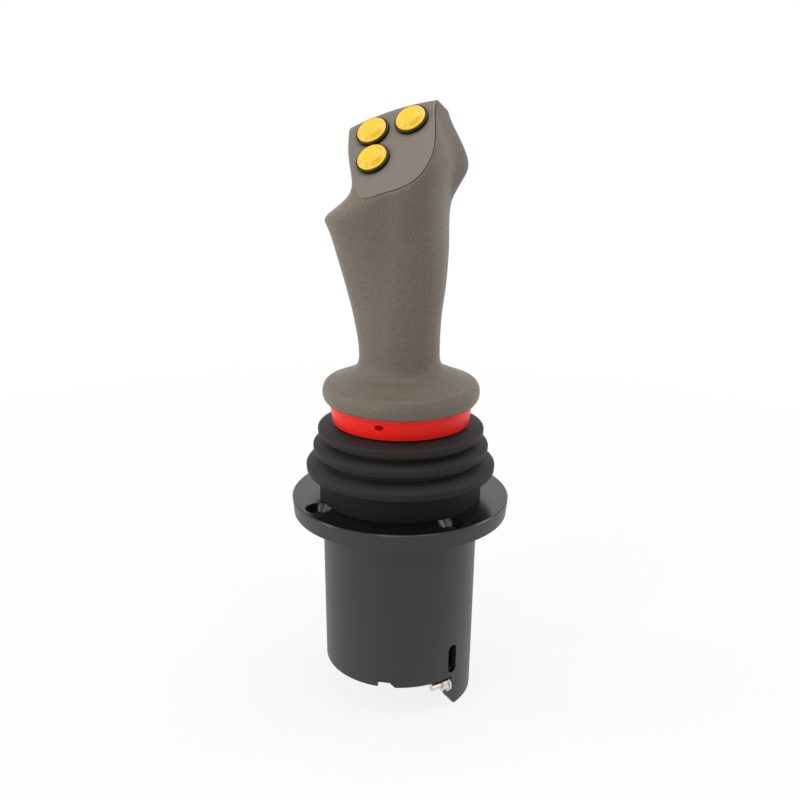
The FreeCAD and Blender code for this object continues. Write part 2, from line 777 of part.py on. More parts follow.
def spring_start(face):
    """Where the centring spring's coil begins outside a bearing face."""
    return face + SPRING_SIDE_GAP


def spring_coil_length():
    """The free length of a centring spring's coil."""
    return (SPRING_TURNS + 1) * (SPRING_WIRE + SPRING_GAP)


def spring_end(face):
    """Where the centring spring's coil ends."""
    return spring_start(face) + spring_coil_length()


def pins(inner, face):
    """Two stub pins on the X line: a short one to the magnet, a long one through the spring."""
    arm_face = spring_end(face) + ARM_THICKNESS
    long_pin = rod(PIN_DIAMETER / 2, pivot_point(inner), pivot_point(arm_face))
    short_pin = rod(PIN_DIAMETER / 2, pivot_point(-magnet_start(face)), pivot_point(-inner))
    return [long_pin, short_pin]


def pivot_pins_x():
    """The outer pivot pins, held by the gimbal ring."""
    return group(pins(pin_start_x(), ear_outer()))


def pivot_pins_y():
    """The inner pivot pins, held by the hub."""
    shapes = pins(LEVER_BORE, GIMBAL_OUTER)
    for shape in shapes:
        shape.rotate(V(0, 0, 0), UP, 90)
    return group(shapes)


def centring_arm(face):
    """The arm on the long pin's end, with a peg that pushes the spring's legs."""
    start = spring_end(face)
    hub = pipe(PIN_DIAMETER / 2 + ARM_THICKNESS, PIN_DIAMETER / 2 + FIT,
               pivot_point(start), pivot_point(start + ARM_THICKNESS))
    foot = PIN_DIAMETER / 2 + ARM_THICKNESS / 2
    blade = Part.makeBox(ARM_THICKNESS, ARM_WIDTH, ARM_PEG_HEIGHT + ARM_PEG / 2 - foot,
                         pivot_point(start, -ARM_WIDTH / 2, foot))
    peg = rod(ARM_PEG / 2, pivot_point(spring_start(face), 0, ARM_PEG_HEIGHT),
              pivot_point(start + ARM_THICKNESS / 2, 0, ARM_PEG_HEIGHT))
    return fused([hub, blade, peg])


def centring_arm_x():
    """The outer axis arm."""
    return centring_arm(ear_outer())


def centring_arm_y():
    """The inner axis arm."""
    arm = centring_arm(GIMBAL_OUTER)
    arm.rotate(V(0, 0, 0), UP, 90)
    return arm


def spring_peg(face):
    """The fixed peg between the legs of a centring spring, above the arm's peg."""
    return rod(ARM_PEG / 2, pivot_point(face - EAR_THICKNESS / 2, 0, FIXED_PEG_HEIGHT),
               pivot_point(spring_end(face) - SPRING_GAP, 0, FIXED_PEG_HEIGHT))


def centring_spring(face):
    """A torsion spring of close turns along +X, with two legs upwards past the pegs."""
    pitch = SPRING_WIRE + SPRING_GAP
    helix = Part.makeHelix(pitch, pitch * SPRING_TURNS, SPRING_RADIUS)
    section = Part.Wire(Part.makeCircle(SPRING_WIRE / 2, V(SPRING_RADIUS, 0, 0), V(0, 1, 0)))
    coil = Part.Wire(helix).makePipeShell([section], True, True)
    start = spring_start(face) + SPRING_WIRE / 2
    coil = aimed(coil, pivot_point(start), V(1, 0, 0))
    ends = []
    for x, side in ((start, -1), (start + pitch * SPRING_TURNS, 1)):
        y = side * (ARM_PEG / 2 + SPRING_WIRE / 2 + SPRING_GAP)
        foot = pivot_point(x, y, math.sqrt(SPRING_RADIUS ** 2 - y * y))
        ends.append(rod(SPRING_WIRE / 2, foot, foot + V(0, 0, SPRING_LEG)))
    return coil, ends


def centring_spring_x():
    """The spring that brings the outer axis back to the middle."""
    coil, ends = centring_spring(ear_outer())
    return fused([coil] + ends)


def centring_spring_y():
    """The spring that brings the inner axis back to the middle."""
    coil, ends = centring_spring(GIMBAL_OUTER)
    spring = fused([coil] + ends)
    spring.rotate(V(0, 0, 0), UP, 90)
    return spring


def magnet(face):
    """The sensor magnet on the short pin's end, on the -X side."""
    return rod(MAGNET_RADIUS, pivot_point(-magnet_start(face) - MAGNET_THICKNESS),
               pivot_point(-magnet_start(face)))


def magnet_x():
    """The magnet of the outer axis."""
    return magnet(ear_outer())


def magnet_y():
    """The magnet of the inner axis."""
    shape = magnet(GIMBAL_OUTER)
    shape.rotate(V(0, 0, 0), UP, 90)
    return shape


def sensor_post_places():
    """Across and up places of the two posts that carry a sensor board."""
    across = SENSOR_BOARD[0] / 2 - SENSOR_POST / 2 - SENSOR_POST_MARGIN
    return [(-across, 0.0), (across, 0.0)]


def sensor_board(face):
    """A small board with the angle sensor chip facing the magnet, on the -X side."""
    start = sensor_board_start(face)
    width, height, thickness = SENSOR_BOARD
    board = block((thickness, width, height), pivot_point(-start - thickness / 2))
    chip = block((SENSOR_CHIP[2], SENSOR_CHIP[0], SENSOR_CHIP[1]),
                 pivot_point(-start + SENSOR_CHIP[2] / 2))
    return fused([board, chip])


def sensor_board_x():
    """The sensor board on the frame."""
    return sensor_board(ear_outer())


def sensor_board_y():
    """The sensor board on the gimbal ring."""
    shape = sensor_board(GIMBAL_OUTER)
    shape.rotate(V(0, 0, 0), UP, 90)
    return shape


def pivot_hub():
    """The block at the lever's foot, with the lever seat above the cross pins."""
    low = PIVOT_HEIGHT - HUB_HALF_HEIGHT
    high = PIVOT_HEIGHT + HUB_HALF_HEIGHT
    solid = disc(HUB_RADIUS, low, high)
    solid = solid.cut(disc(LEVER_RADIUS + FIT, high - HUB_SEAT, high + 1))
    solid = solid.cut(disc(HUB_BORE, low - 1, high))
    hole = PIN_DIAMETER / 2 + FIT
    return solid.cut(rod(hole, pivot_point(0, -HUB_RADIUS - 1), pivot_point(0, HUB_RADIUS + 1)))


def lever_tube():
    """The steel tube from the hub up into the grip."""
    foot = PIVOT_HEIGHT + HUB_HALF_HEIGHT - HUB_SEAT
    return tube(LEVER_RADIUS, LEVER_BORE, foot, LEVER_TOP)


# Inside the can

def board_top():
    """The height of the circuit board's upper face."""
    return BOARD_RISE - CAN_DEPTH


def lamp_height():
    """The height of the lamp's middle, behind the slot."""
    return LED_RISE - CAN_DEPTH


def board_edge():
    """The radius of the circuit board."""
    return can_bore() - BOARD_CLEARANCE


def main_board():
    """The round circuit board with its main chips."""
    top = board_top()
    board = disc(board_edge(), top - BOARD_THICKNESS, top)
    for centre in standoff_places():
        hole = disc(FRAME_SCREW / 2 + SCREW_ROOM, top - BOARD_THICKNESS - 1, top + 1, centre.x, centre.y)
        board = board.cut(hole)
    chips = [block((length, width, height), V(x, y, top + height / 2))
             for length, width, height, x, y in BOARD_CHIPS]
    capacitors = [disc(CAPACITOR_RADIUS, top, top + CAPACITOR_HEIGHT, x, y) for x, y in CAPACITORS]
    return fused([board] + chips + capacitors)


def board_standoffs():
    """Four pillars from the frame down to the board."""
    top = -WEB_DEPTH - FRAME_THICKNESS
    pillars = []
    for centre in standoff_places():
        pillar = disc(STANDOFF_RADIUS, board_top(), top, centre.x, centre.y)
        hole = disc(FRAME_SCREW / 2 + FIT, board_top() - 1, board_top() + BOARD_SCREW_LENGTH + 1,
                    centre.x, centre.y)
        pillars.append(pillar.cut(hole))
    return group(pillars)


def board_screws():
    """Four screws that hold the board up against its pillars."""
    screws = []
    for centre in standoff_places():
        foot = V(centre.x, centre.y, board_top() - BOARD_THICKNESS)
        screws.append(aimed(screw_solid(FRAME_SCREW, BOARD_SCREW_LENGTH, BOARD_SCREW_HEAD), foot, UP))
    return group(screws)


def connector_bottom():
    """The underside of the header block, flush with the cover."""
    return cover_seat() - COVER_THICKNESS


def connector_housing():
    """The pin header's block, from the board down through the cover."""
    length, width = CONNECTOR_SIZE
    top = board_top() - BOARD_THICKNESS
    bottom = connector_bottom()
    solid = block((length, width, top - bottom), V(0, 0, (top + bottom) / 2))
    corners = [edge for edge in solid.Edges if edge.BoundBox.ZLength > 1]
    solid = solid.makeFillet(CONNECTOR_CORNER, corners)
    for x, y in pin_places():
        room = PIN_WIDTH + 2 * FIT
        solid = solid.cut(block((room, room, 2 * PIN_SEAT), V(x, y, bottom)))
    return solid


def pin_places():
    """Centres of the header's pins."""
    places = []
    for row in range(PIN_ROW_COUNT):
        for column in range(PIN_COLUMN_COUNT):
            x = (column - (PIN_COLUMN_COUNT - 1) / 2) * PIN_PITCH
            y = (row - (PIN_ROW_COUNT - 1) / 2) * PIN_ROW_PITCH
            places.append((x, y))
    return places


def connector_pins():
    """The header's contact pins, standing out below the block."""
    low = connector_bottom() - PIN_LENGTH
    high = connector_bottom() + PIN_SEAT
    return group([block((PIN_WIDTH, PIN_WIDTH, high - low), V(x, y, (low + high) / 2))
                  for x, y in pin_places()])


def base_cover():
    """The cover plate let into the can's rim, cut out for the connector."""
    top = cover_seat()
    plate = disc(can_bore() + COVER_STEP - COVER_CLEARANCE, top - COVER_THICKNESS, top)
    length, width = CONNECTOR_SIZE
    room = 2 * CONNECTOR_ROOM
    plate = plate.cut(block((length + room, width + room, COVER_THICKNESS * 3), V(0, 0, top)))
    for centre in cover_screw_places():
        hole = disc(FRAME_SCREW / 2 + SCREW_ROOM, top - COVER_THICKNESS - 1, top + 1, centre.x, centre.y)
        plate = plate.cut(hole)
    return plate


def cover_screws():
    """The screws that hold the base cover."""
    screws = []
    for centre in cover_screw_places():
        foot = centre + V(0, 0, cover_seat() - COVER_THICKNESS)
        screws.append(aimed(screw_solid(FRAME_SCREW, COVER_SCREW_LENGTH), foot, UP))
    return group(screws)


def status_lamp():
    """The red lamp behind the can's slot, hanging from the board on its two leads."""
    centre = polar(can_bore() - LED_RADIUS - LED_SETBACK, LED_ANGLE, lamp_height())
    dome = Part.makeSphere(LED_RADIUS, centre + V(0, 0, -LED_LENGTH / 2 + LED_RADIUS))
    body = disc(LED_RADIUS, lamp_height() - LED_LENGTH / 2 + LED_RADIUS, lamp_height() + LED_LENGTH / 2,
                centre.x, centre.y)
    leads = []
    for side in (-LED_LEAD_PITCH / 2, LED_LEAD_PITCH / 2):
        place = centre + polar(side, LED_ANGLE + 90)
        lead = disc(LED_LEAD / 2, lamp_height(), board_top() - BOARD_THICKNESS, place.x, place.y)
        leads.append(lead)
    return fused([body, dome] + leads)


# Grip outline

def smooth_step(value):
    """Zero below 0, one above 1, and an even rise between."""
    value = min(max(value, 0.0), 1.0)
    return value * value * (3 - 2 * value)


def station(height):
    """The grip's centre and its four reaches at a height, by a smooth curve through the stations."""
    rows = GRIP_STATIONS
    index = 0
    while index < len(rows) - 2 and rows[index + 1][0] <= height:
        index += 1
    low, high = rows[index], rows[index + 1]
    before = rows[max(index - 1, 0)]
    after = rows[min(index + 2, len(rows) - 1)]
    step = high[0] - low[0]
    t = (height - low[0]) / step
    values = []
    for column in range(1, len(low)):
        slope_low = (high[column] - before[column]) / (high[0] - before[0]) * step
        slope_high = (after[column] - low[column]) / (after[0] - low[0]) * step
        value = ((2 * t ** 3 - 3 * t ** 2 + 1) * low[column] + (t ** 3 - 2 * t ** 2 + t) * slope_low
                 + (3 * t ** 2 - 2 * t ** 3) * high[column] + (t ** 3 - t ** 2) * slope_high)
        values.append(value)
    return values


def bump(angle, centre, spread):
    """A soft bump round the grip: one at the centre angle, zero beyond the spread."""
    away = abs((angle - centre + 180) % 360 - 180)
    return smooth_step(1 - away / spread)


def ledge(height):
    """How far the palm ledge on the left stands out at a height."""
    if height <= LEDGE_TIP:
        rise = (height - LEDGE_BASE) / (LEDGE_TIP - LEDGE_BASE)
        return LEDGE_REACH * max(rise, 0.0) ** LEDGE_RISE_POWER
    fall = (height - LEDGE_TIP) / (LEDGE_END - LEDGE_TIP)
    return LEDGE_REACH * max(1 - fall, 0.0) ** LEDGE_FALL_POWER


def flare(height):
    """How far the finger side stands out on the right at a height."""
    return FLARE_REACH * smooth_step((height - FLARE_START) / (FLARE_END - FLARE_START))


def roll(height):
    """The sideways lean of a section, in degrees."""
    return HEAD_ROLL * smooth_step((height - ROLL_START) / (ROLL_END - ROLL_START))


def grip_point(height, angle, inset):
    """A point on the grip's outline at a height and an angle, moved inwards by the inset."""
    centre, left, right, front, back = station(height)
    head = smooth_step((height - HEAD_START) / (HEAD_END - HEAD_START))
    cosine = math.cos(math.radians(angle))
    sine = math.sin(math.radians(angle))
    across = right if cosine >= 0 else left
    along = back if sine >= 0 else front
    corner = ("back" if sine >= 0 else "front") + ("_right" if cosine >= 0 else "_left")
    power = NECK_ROUNDNESS + (ROUNDNESS[corner] - NECK_ROUNDNESS) * head
    radius = (abs(cosine / across) ** power + abs(sine / along) ** power) ** (-1 / power)
    radius += ledge(height) * bump(angle, LEDGE_ANGLE, LEDGE_SPREAD)
    radius += flare(height) * bump(angle, FLARE_ANGLE, FLARE_SPREAD)
    radius -= inset
    lean = math.radians(roll(height))
    x = centre + radius * cosine * math.cos(lean)
    z = height + radius * cosine * math.sin(lean)
    return V(x, radius * sine, z)


@functools.cache
def grip_column(inset):
    """The grip's form as a smooth solid, before the face and the top are cut."""
    wires = []
    steps = [index / SECTION_POINT_COUNT for index in range(SECTION_POINT_COUNT + 1)]
    for height in SECTION_HEIGHTS:
        points = [grip_point(height, 360.0 * index / SECTION_POINT_COUNT, inset)
                  for index in range(SECTION_POINT_COUNT)]
        curve = Part.BSplineCurve()
        curve.interpolate(Points=points, PeriodicFlag=True, Parameters=steps)
        wires.append(Part.Wire(curve.toShape()))
    return Part.makeLoft(wires, True, False)


def head_rotation():
    """The turn from the row's axes to the button face's axes."""
    slope = FreeCAD.Rotation(V(1, 0, 0), FACE_SLOPE)
    lean = FreeCAD.Rotation(V(0, 1, 0), -HEAD_ROLL)
    return lean.multiply(slope)


def on_face(shape):
    """A shape made about the origin with +Z outwards, moved to the button face."""
    moved = shape.copy()
    moved.Placement = FreeCAD.Placement(V(*FACE_CENTRE), head_rotation()).multiply(shape.Placement)
    return moved


def face_slab(low, high):
    """A wide slab parallel to the button face between two depths."""
    return on_face(Part.makeBox(SLAB, SLAB, high - low, V(-SLAB / 2, -SLAB / 2, low)))


def top_slab(drop):
    """All that lies above the head's top surface, lowered by a drop."""
    slab = Part.makeBox(SLAB, SLAB, SLAB, V(-SLAB / 2, -SLAB / 2, -drop))
    slab.rotate(V(0, 0, 0), V(1, 0, 0), -TOP_SLOPE)
    slab.rotate(V(0, 0, 0), V(0, 1, 0), -HEAD_ROLL)
    edge = V(*FACE_CENTRE) + head_rotation().multVec(V(0, FACE_TOP_EDGE, 0))
    slab.translate(edge)
    return slab


def corner_slab(drop):
    """All that lies beyond the slope at the head's top right corner, lowered by a drop."""
    slab = Part.makeBox(SLAB, SLAB, SLAB, V(-SLAB / 2, -SLAB / 2, CORNER_REACH - drop))
    slab.rotate(V(0, 0, 0), V(0, 1, 0), CORNER_SLOPE - HEAD_ROLL)
    return slab


def under_top(shape, inset):
    """A shape without what lies above the head's top, moved inwards by the inset."""
    return shape.cut(top_slab(inset)).cut(corner_slab(inset))


def grip_form(inset):
    """The whole grip above the disc, offset inwards on every side."""
    return under_top(grip_column(inset).cut(face_slab(-inset, SLAB)), inset)


def above(height):
    """The half space above a height."""
    return Part.makeBox(SPACE, SPACE, SPACE, V(-SPACE / 2, -SPACE / 2, height))


def grip_cavity():
    """The hollow inside the shells, open into the seat of the face plate."""
    cavity = grip_column(SHELL_WALL).cut(face_slab(-PLATE_THICKNESS / 2, SLAB))
    cavity = under_top(cavity, SHELL_WALL)
    return cavity.common(above(disc_top() + SHELL_WALL))


def disc_top():
    """The height of the hand rest disc's flat crown, on which the shells stand."""
    return CLAMP_TOP + DISC_THICKNESS + DISC_CROWN


def hand_rest():
    """The round disc that carries the hand: a well rounded rim and a gently domed top."""
    low = CLAMP_TOP
    high = CLAMP_TOP + DISC_THICKNESS
    edge = DISC_RADIUS - DISC_EDGE
    crown = GRIP_STATIONS[0][4]
    rim = Part.Arc(V(edge, 0, low), V(DISC_RADIUS, 0, (low + high) / 2 + DISC_LIFT), V(edge, 0, high))
    middle = V((edge + crown) / 2, 0, high + DISC_CROWN * DISC_CROWN_FULLNESS)
    dome = Part.Arc(V(edge, 0, high), middle, V(crown, 0, disc_top()))
    edges = [
        Part.makeLine(V(0, 0, low), V(edge, 0, low)),
        rim.toShape(),
        dome.toShape(),
        Part.makeLine(V(crown, 0, disc_top()), V(0, 0, disc_top())),
        Part.makeLine(V(0, 0, disc_top()), V(0, 0, low)),
    ]
    return Part.Face(Part.Wire(edges)).revolve(V(0, 0, 0), UP, 360)


def split_box(side):
    """The half space on one side of the shells' joint."""
    start = -SPACE if side < 0 else 0.0
    return Part.makeBox(SPACE, SPACE, SPACE, V(-SPACE / 2, SPLIT_DEPTH + start, -SPACE / 4))


def core_room():
    """The space for the core and its flange, as a cutter."""
    radius = LEVER_RADIUS + CORE_WALL + FIT
    return fused([disc(radius, CLAMP_TOP - 1, CORE_TOP + 1),
                  disc(CORE_FLANGE + FIT, CLAMP_TOP - 1, CLAMP_TOP + CORE_FLANGE_HEIGHT + FIT)])


def face_opening():
    """The seat in the shell for the face plate, as a cutter."""
    seat = grip_column(PLATE_MARGIN - PLATE_GAP).common(face_slab(-PLATE_THICKNESS, SLAB))
    return under_top(seat, PLATE_MARGIN - PLATE_GAP)


def shell_skin(height):
    """How far back the shell's outside lies at a screw's height."""
    return grip_point(height, 90, 0).y


def grip_core():
    """The stiff core of the grip: a sleeve on the lever tube with a foot flange."""
    outer = LEVER_RADIUS + CORE_WALL
    solid = fused([disc(outer, CLAMP_TOP, CORE_TOP),
                   disc(CORE_FLANGE, CLAMP_TOP, CLAMP_TOP + CORE_FLANGE_HEIGHT)])
    solid = solid.cut(disc(LEVER_RADIUS + FIT, CLAMP_TOP - 1, CORE_TOP + 1))
    for height in RIB_HEIGHTS:
        if height + SHELL_SCREW < CORE_TOP:
            start = V(0, LEVER_RADIUS, height)
            solid = solid.cut(rod(SHELL_SCREW / 2 + FIT, start, V(0, outer + 1, height)))
    return solid


def rear_shell(outer, cavity):
    """The operator side shell: hand rest disc, ribs, ledge and the opening for the face plate."""
    ribs = [cavity.common(block((SPACE, SPACE, RIB_THICKNESS), V(0, 0, height)))
            for height in RIB_HEIGHTS]
    shell = outer.cut(cavity).cut(face_opening())
    shell = shell.fuse(ribs).common(split_box(-1))
    boss_height = RIB_HEIGHTS[-1]
    boss = rod(SHELL_BOSS, V(0, SPLIT_DEPTH, boss_height), V(0, SPLIT_DEPTH - 2 * SHELL_BOSS, boss_height))
    holes = [rod(SHELL_SCREW / 2 + FIT, V(0, SPLIT_DEPTH + 1, height),
                 V(0, SPLIT_DEPTH - SHELL_THREAD - 1, height)) for height in RIB_HEIGHTS]
    low = -PLATE_THICKNESS - NUT_RING_HEIGHT - NUT_ROOM
    pocket = disc(NUT_RING_RADIUS + NUT_ROOM, low, -PLATE_THICKNESS)
    pockets = [at_button(pocket, index) for index in range(len(BUTTON_PLACES))]
    return shell.fuse([hand_rest(), boss]).cut(core_room()).cut(holes + pockets)


def front_shell(outer, cavity):
    """The finger side shell, with a boss for each shell screw."""
    shell = outer.cut(cavity).common(split_box(1)).common(above(disc_top()))
    for height in RIB_HEIGHTS:
        skin = shell_skin(height)
        boss = rod(SHELL_BOSS, V(0, SPLIT_DEPTH, height), V(0, skin - SHELL_WALL / 2, height))
        shell = shell.fuse(boss)
    for height in RIB_HEIGHTS:
        skin = shell_skin(height)
        hole = rod(SHELL_SCREW / 2 + SHELL_HOLE_ROOM, V(0, SPLIT_DEPTH - 1, height), V(0, skin + 1, height))
        sink = rod(SCREW_HEAD / 2 + SHELL_SINK_ROOM, V(0, SPLIT_DEPTH + SHELL_SCREW_SEAT, height),
                   V(0, skin + 3, height))
        shell = shell.cut(hole).cut(sink)
    return shell.cut(core_room())


def shell_screws():
    """The screws from the finger side into the core and the rear shell's boss."""
    screws = []
    for height in RIB_HEIGHTS:
        seat = V(0, SPLIT_DEPTH + SHELL_SCREW_SEAT, height)
        screw = screw_solid(SHELL_SCREW, SHELL_SCREW_SEAT + SHELL_THREAD)
        screws.append(aimed(screw, seat, V(0, -1, 0)))
    return group(screws)


def button_place(index):
    """The centre of a button on the face, across and up the slope."""
    column, row = BUTTON_PLACES[index]
    return BUTTON_FIRST[0] + column * BUTTON_PITCH_X, BUTTON_FIRST[1] - row * BUTTON_PITCH_Y


def at_button(shape, index):
    """A shape made about the origin, moved to a button's place on the face."""
    x, y = button_place(index)
    moved = shape.copy()
    moved.translate(V(x, y, 0))
    return on_face(moved)


def face_plate():
    """The plate let into the shell, with a hole for each button."""
    plate = grip_column(PLATE_MARGIN).common(face_slab(-PLATE_THICKNESS, 0))
    plate = under_top(plate, PLATE_MARGIN)
    for index in range(len(BUTTON_PLACES)):
        hole = disc(BARREL_RADIUS + FIT, -PLATE_THICKNESS - 1, 1)
        plate = plate.cut(at_button(hole, index))
    return plate


def barrel_bore():
    """The bore of a button's barrel round the cap's skirt."""
    return CAP_SKIRT_RADIUS + CAP_CLEARANCE


def cap_shoulder():
    """The height of the cap's shoulder above the face at rest."""
    return BEZEL_FLOOR + BUTTON_TRAVEL + CAP_CLEARANCE


def bezel():
    """A round bezel with its threaded barrel behind the face."""
    room = CAP_RADIUS + CAP_CLEARANCE
    edge = (BEZEL_RADIUS - room) / 2
    return revolved([
        (barrel_bore(), -BARREL_LENGTH),
        (BARREL_RADIUS, -BARREL_LENGTH),
        (BARREL_RADIUS, 0),
        (BEZEL_RADIUS, 0),
        (BEZEL_RADIUS, BEZEL_HEIGHT - edge),
        (BEZEL_RADIUS - edge, BEZEL_HEIGHT),
        (room, BEZEL_HEIGHT),
        (room, BEZEL_FLOOR),
        (barrel_bore(), BEZEL_FLOOR),
    ])


def button_nuts():
    """The ring nuts that hold the bezels behind the face plate."""
    low = -PLATE_THICKNESS - NUT_RING_HEIGHT
    nut = tube(NUT_RING_RADIUS, BARREL_RADIUS + FIT, low, -PLATE_THICKNESS)
    return group([at_button(nut, index) for index in range(len(BUTTON_PLACES))])


def cap():
    """A push button cap: skirt, flat rim and a raised crown, with the stem below."""
    shoulder = cap_shoulder()
    rim = shoulder + CAP_RIM
    stem_low = -BARREL_LENGTH - BUTTON_TRAVEL - STEM_REACH
    crown = [(CAP_PLATEAU - inward, rim + CAP_CROWN * rise) for inward, rise in CAP_SHOULDER]
    skirt_low = -BARREL_LENGTH / 2
    return revolved([
        (0, stem_low),
        (STEM_RADIUS, stem_low),
        (STEM_RADIUS, skirt_low),
        (CAP_SKIRT_RADIUS, skirt_low),
        (CAP_SKIRT_RADIUS, shoulder),
        (CAP_RADIUS, shoulder),
        (CAP_RADIUS, rim - CAP_EDGE),
        (CAP_RADIUS - CAP_EDGE, rim),
        (CAP_PLATEAU, rim),
        *crown,
        (0, rim + CAP_CROWN),
    ])


def switch():
    """The switch block under a barrel, bored for the stem, with two terminals."""
    top = -BARREL_LENGTH
    body = block((SWITCH_SIZE, SWITCH_SIZE, SWITCH_LENGTH), V(0, 0, top - SWITCH_LENGTH / 2))
    bore = disc(STEM_RADIUS + CAP_CLEARANCE, top - SWITCH_BORE, top + 1)
    drop = SWITCH_LENGTH + SWITCH_TAG[2] / 2 - SWITCH_TAG_SEAT
    tags = [block(SWITCH_TAG, V(side * SWITCH_SIZE / 4, 0, top - drop)) for side in (-1, 1)]
    return fused([body.cut(bore)] + tags)


def button_spring():
    """The return spring between the switch and the cap's skirt."""
    length = BARREL_LENGTH / 2
    rise = length - BUTTON_SPRING_WIRE - 2 * FIT
    helix = Part.makeHelix(rise / BUTTON_SPRING_TURNS, rise, BUTTON_SPRING_RADIUS)
    section = Part.makeCircle(BUTTON_SPRING_WIRE / 2, V(BUTTON_SPRING_RADIUS, 0, 0), V(0, 1, 0))
    coil = Part.Wire(helix).makePipeShell([Part.Wire(section)], True, True)
    coil.translate(V(0, 0, -BARREL_LENGTH + BUTTON_SPRING_WIRE / 2 + FIT))
    return coil


BUTTON_NAMES = ("upper_left", "upper_right", "lower_left")


def button_nodes():
    """Bezel, cap, spring and switch of every button, by node name."""
    nodes = {}
    for index, name in enumerate(BUTTON_NAMES):
        nodes["bezel_" + name] = at_button(bezel(), index)
        nodes["cap_" + name] = at_button(cap(), index)
        nodes["spring_" + name] = at_button(button_spring(), index)
        nodes["switch_" + name] = at_button(switch(), index)
    return nodes


def build_all():
    """Every node by name."""
    outer = grip_form(0.0)
    cavity = grip_cavity()
    makers = (
        housing, bellows, clamp_ring, clamp_screw,
        gimbal_frame, frame_screws, gimbal_ring, pivot_hub, lever_tube,
        pivot_bushes_x, pivot_bushes_y, pivot_pins_x, pivot_pins_y,
        centring_arm_x, centring_arm_y, centring_spring_x, centring_spring_y,
        magnet_x, magnet_y, sensor_board_x, sensor_board_y,
        main_board, board_standoffs, board_screws, connector_housing, connector_pins,
        base_cover, cover_screws, status_lamp,
        earth_stud, earth_washer, earth_nut,
        grip_core, face_plate, shell_screws, button_nuts,
    )
    nodes = {maker.__name__: maker() for maker in makers}
    nodes["rear_shell"] = rear_shell(outer, cavity)
    nodes["front_shell"] = front_shell(outer, cavity)
    nodes.update(button_nodes())
    return nodes


def main():
    """Write one STEP file for each node."""
    os.makedirs("parts", exist_ok=True)
    for name, shape in build_all().items():
        shape.exportStep("parts/" + name + ".step")


main()
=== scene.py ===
import json
import logging
from contextlib import contextmanager
from dataclasses import dataclass, field
from enum import Enum
from math import atan2, cos, inf, pi, radians, sin, tan, tau
from typing import Any, Callable, Iterator, Sequence

import bmesh
import bpy
from mathutils import Matrix, Vector

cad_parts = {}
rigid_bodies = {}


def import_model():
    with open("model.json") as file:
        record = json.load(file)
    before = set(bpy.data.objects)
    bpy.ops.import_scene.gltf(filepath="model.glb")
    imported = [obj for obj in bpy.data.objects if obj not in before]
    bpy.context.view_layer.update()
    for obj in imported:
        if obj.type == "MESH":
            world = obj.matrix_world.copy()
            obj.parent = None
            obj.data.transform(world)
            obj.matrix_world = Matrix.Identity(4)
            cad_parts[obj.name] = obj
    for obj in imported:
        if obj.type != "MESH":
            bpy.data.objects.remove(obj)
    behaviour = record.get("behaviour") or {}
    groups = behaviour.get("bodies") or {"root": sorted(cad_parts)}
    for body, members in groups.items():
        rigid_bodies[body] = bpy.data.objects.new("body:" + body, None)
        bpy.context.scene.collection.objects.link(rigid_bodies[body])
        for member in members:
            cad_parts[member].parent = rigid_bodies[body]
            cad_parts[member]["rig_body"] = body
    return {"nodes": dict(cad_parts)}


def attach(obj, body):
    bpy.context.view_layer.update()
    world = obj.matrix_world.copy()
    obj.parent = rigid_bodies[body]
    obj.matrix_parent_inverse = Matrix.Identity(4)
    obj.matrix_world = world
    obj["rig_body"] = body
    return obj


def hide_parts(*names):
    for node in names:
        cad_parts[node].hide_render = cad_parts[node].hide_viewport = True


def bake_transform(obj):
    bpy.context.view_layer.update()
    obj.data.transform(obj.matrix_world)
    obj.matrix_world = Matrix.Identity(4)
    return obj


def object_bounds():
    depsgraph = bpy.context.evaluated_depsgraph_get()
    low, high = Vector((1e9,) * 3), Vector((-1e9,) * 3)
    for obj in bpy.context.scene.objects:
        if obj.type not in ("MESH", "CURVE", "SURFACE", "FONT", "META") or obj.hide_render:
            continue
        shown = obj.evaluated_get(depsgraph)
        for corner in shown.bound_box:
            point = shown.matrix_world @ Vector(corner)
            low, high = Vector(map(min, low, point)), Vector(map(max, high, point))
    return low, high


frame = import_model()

LOG = logging.getLogger("joystick")
MM = 0.001
CAD_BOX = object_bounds()
WELD = 0.000002
# The head's lean to the left in degrees, a point on its face in millimetres and the face's slope.
LEAN = 17.0
FACE = (-2.6, -10.3, 180.0)
FACE_SLOPE = 45.0

Place = tuple[float, float]
Triple = tuple[float, float, float]
Colour = Triple
Piece = bpy.types.Object
UP = Vector((0, 0, 1))


def tone(red: float, green: float, blue: float) -> Colour:
    """A linear colour from the 0 to 255 numbers of a picture.

    Args:
        red: The red number.
        green: The green number.
        blue: The blue number.

    Returns:
        The colour as the shaders take it.
    """
    def linear(value: float) -> float:
        """One number of the colour without the picture's curve."""
        share = value / 255
        return share / 12.92 if share <= 0.04045 else ((share + 0.055) / 1.055) ** 2.4

    return linear(red), linear(green), linear(blue)


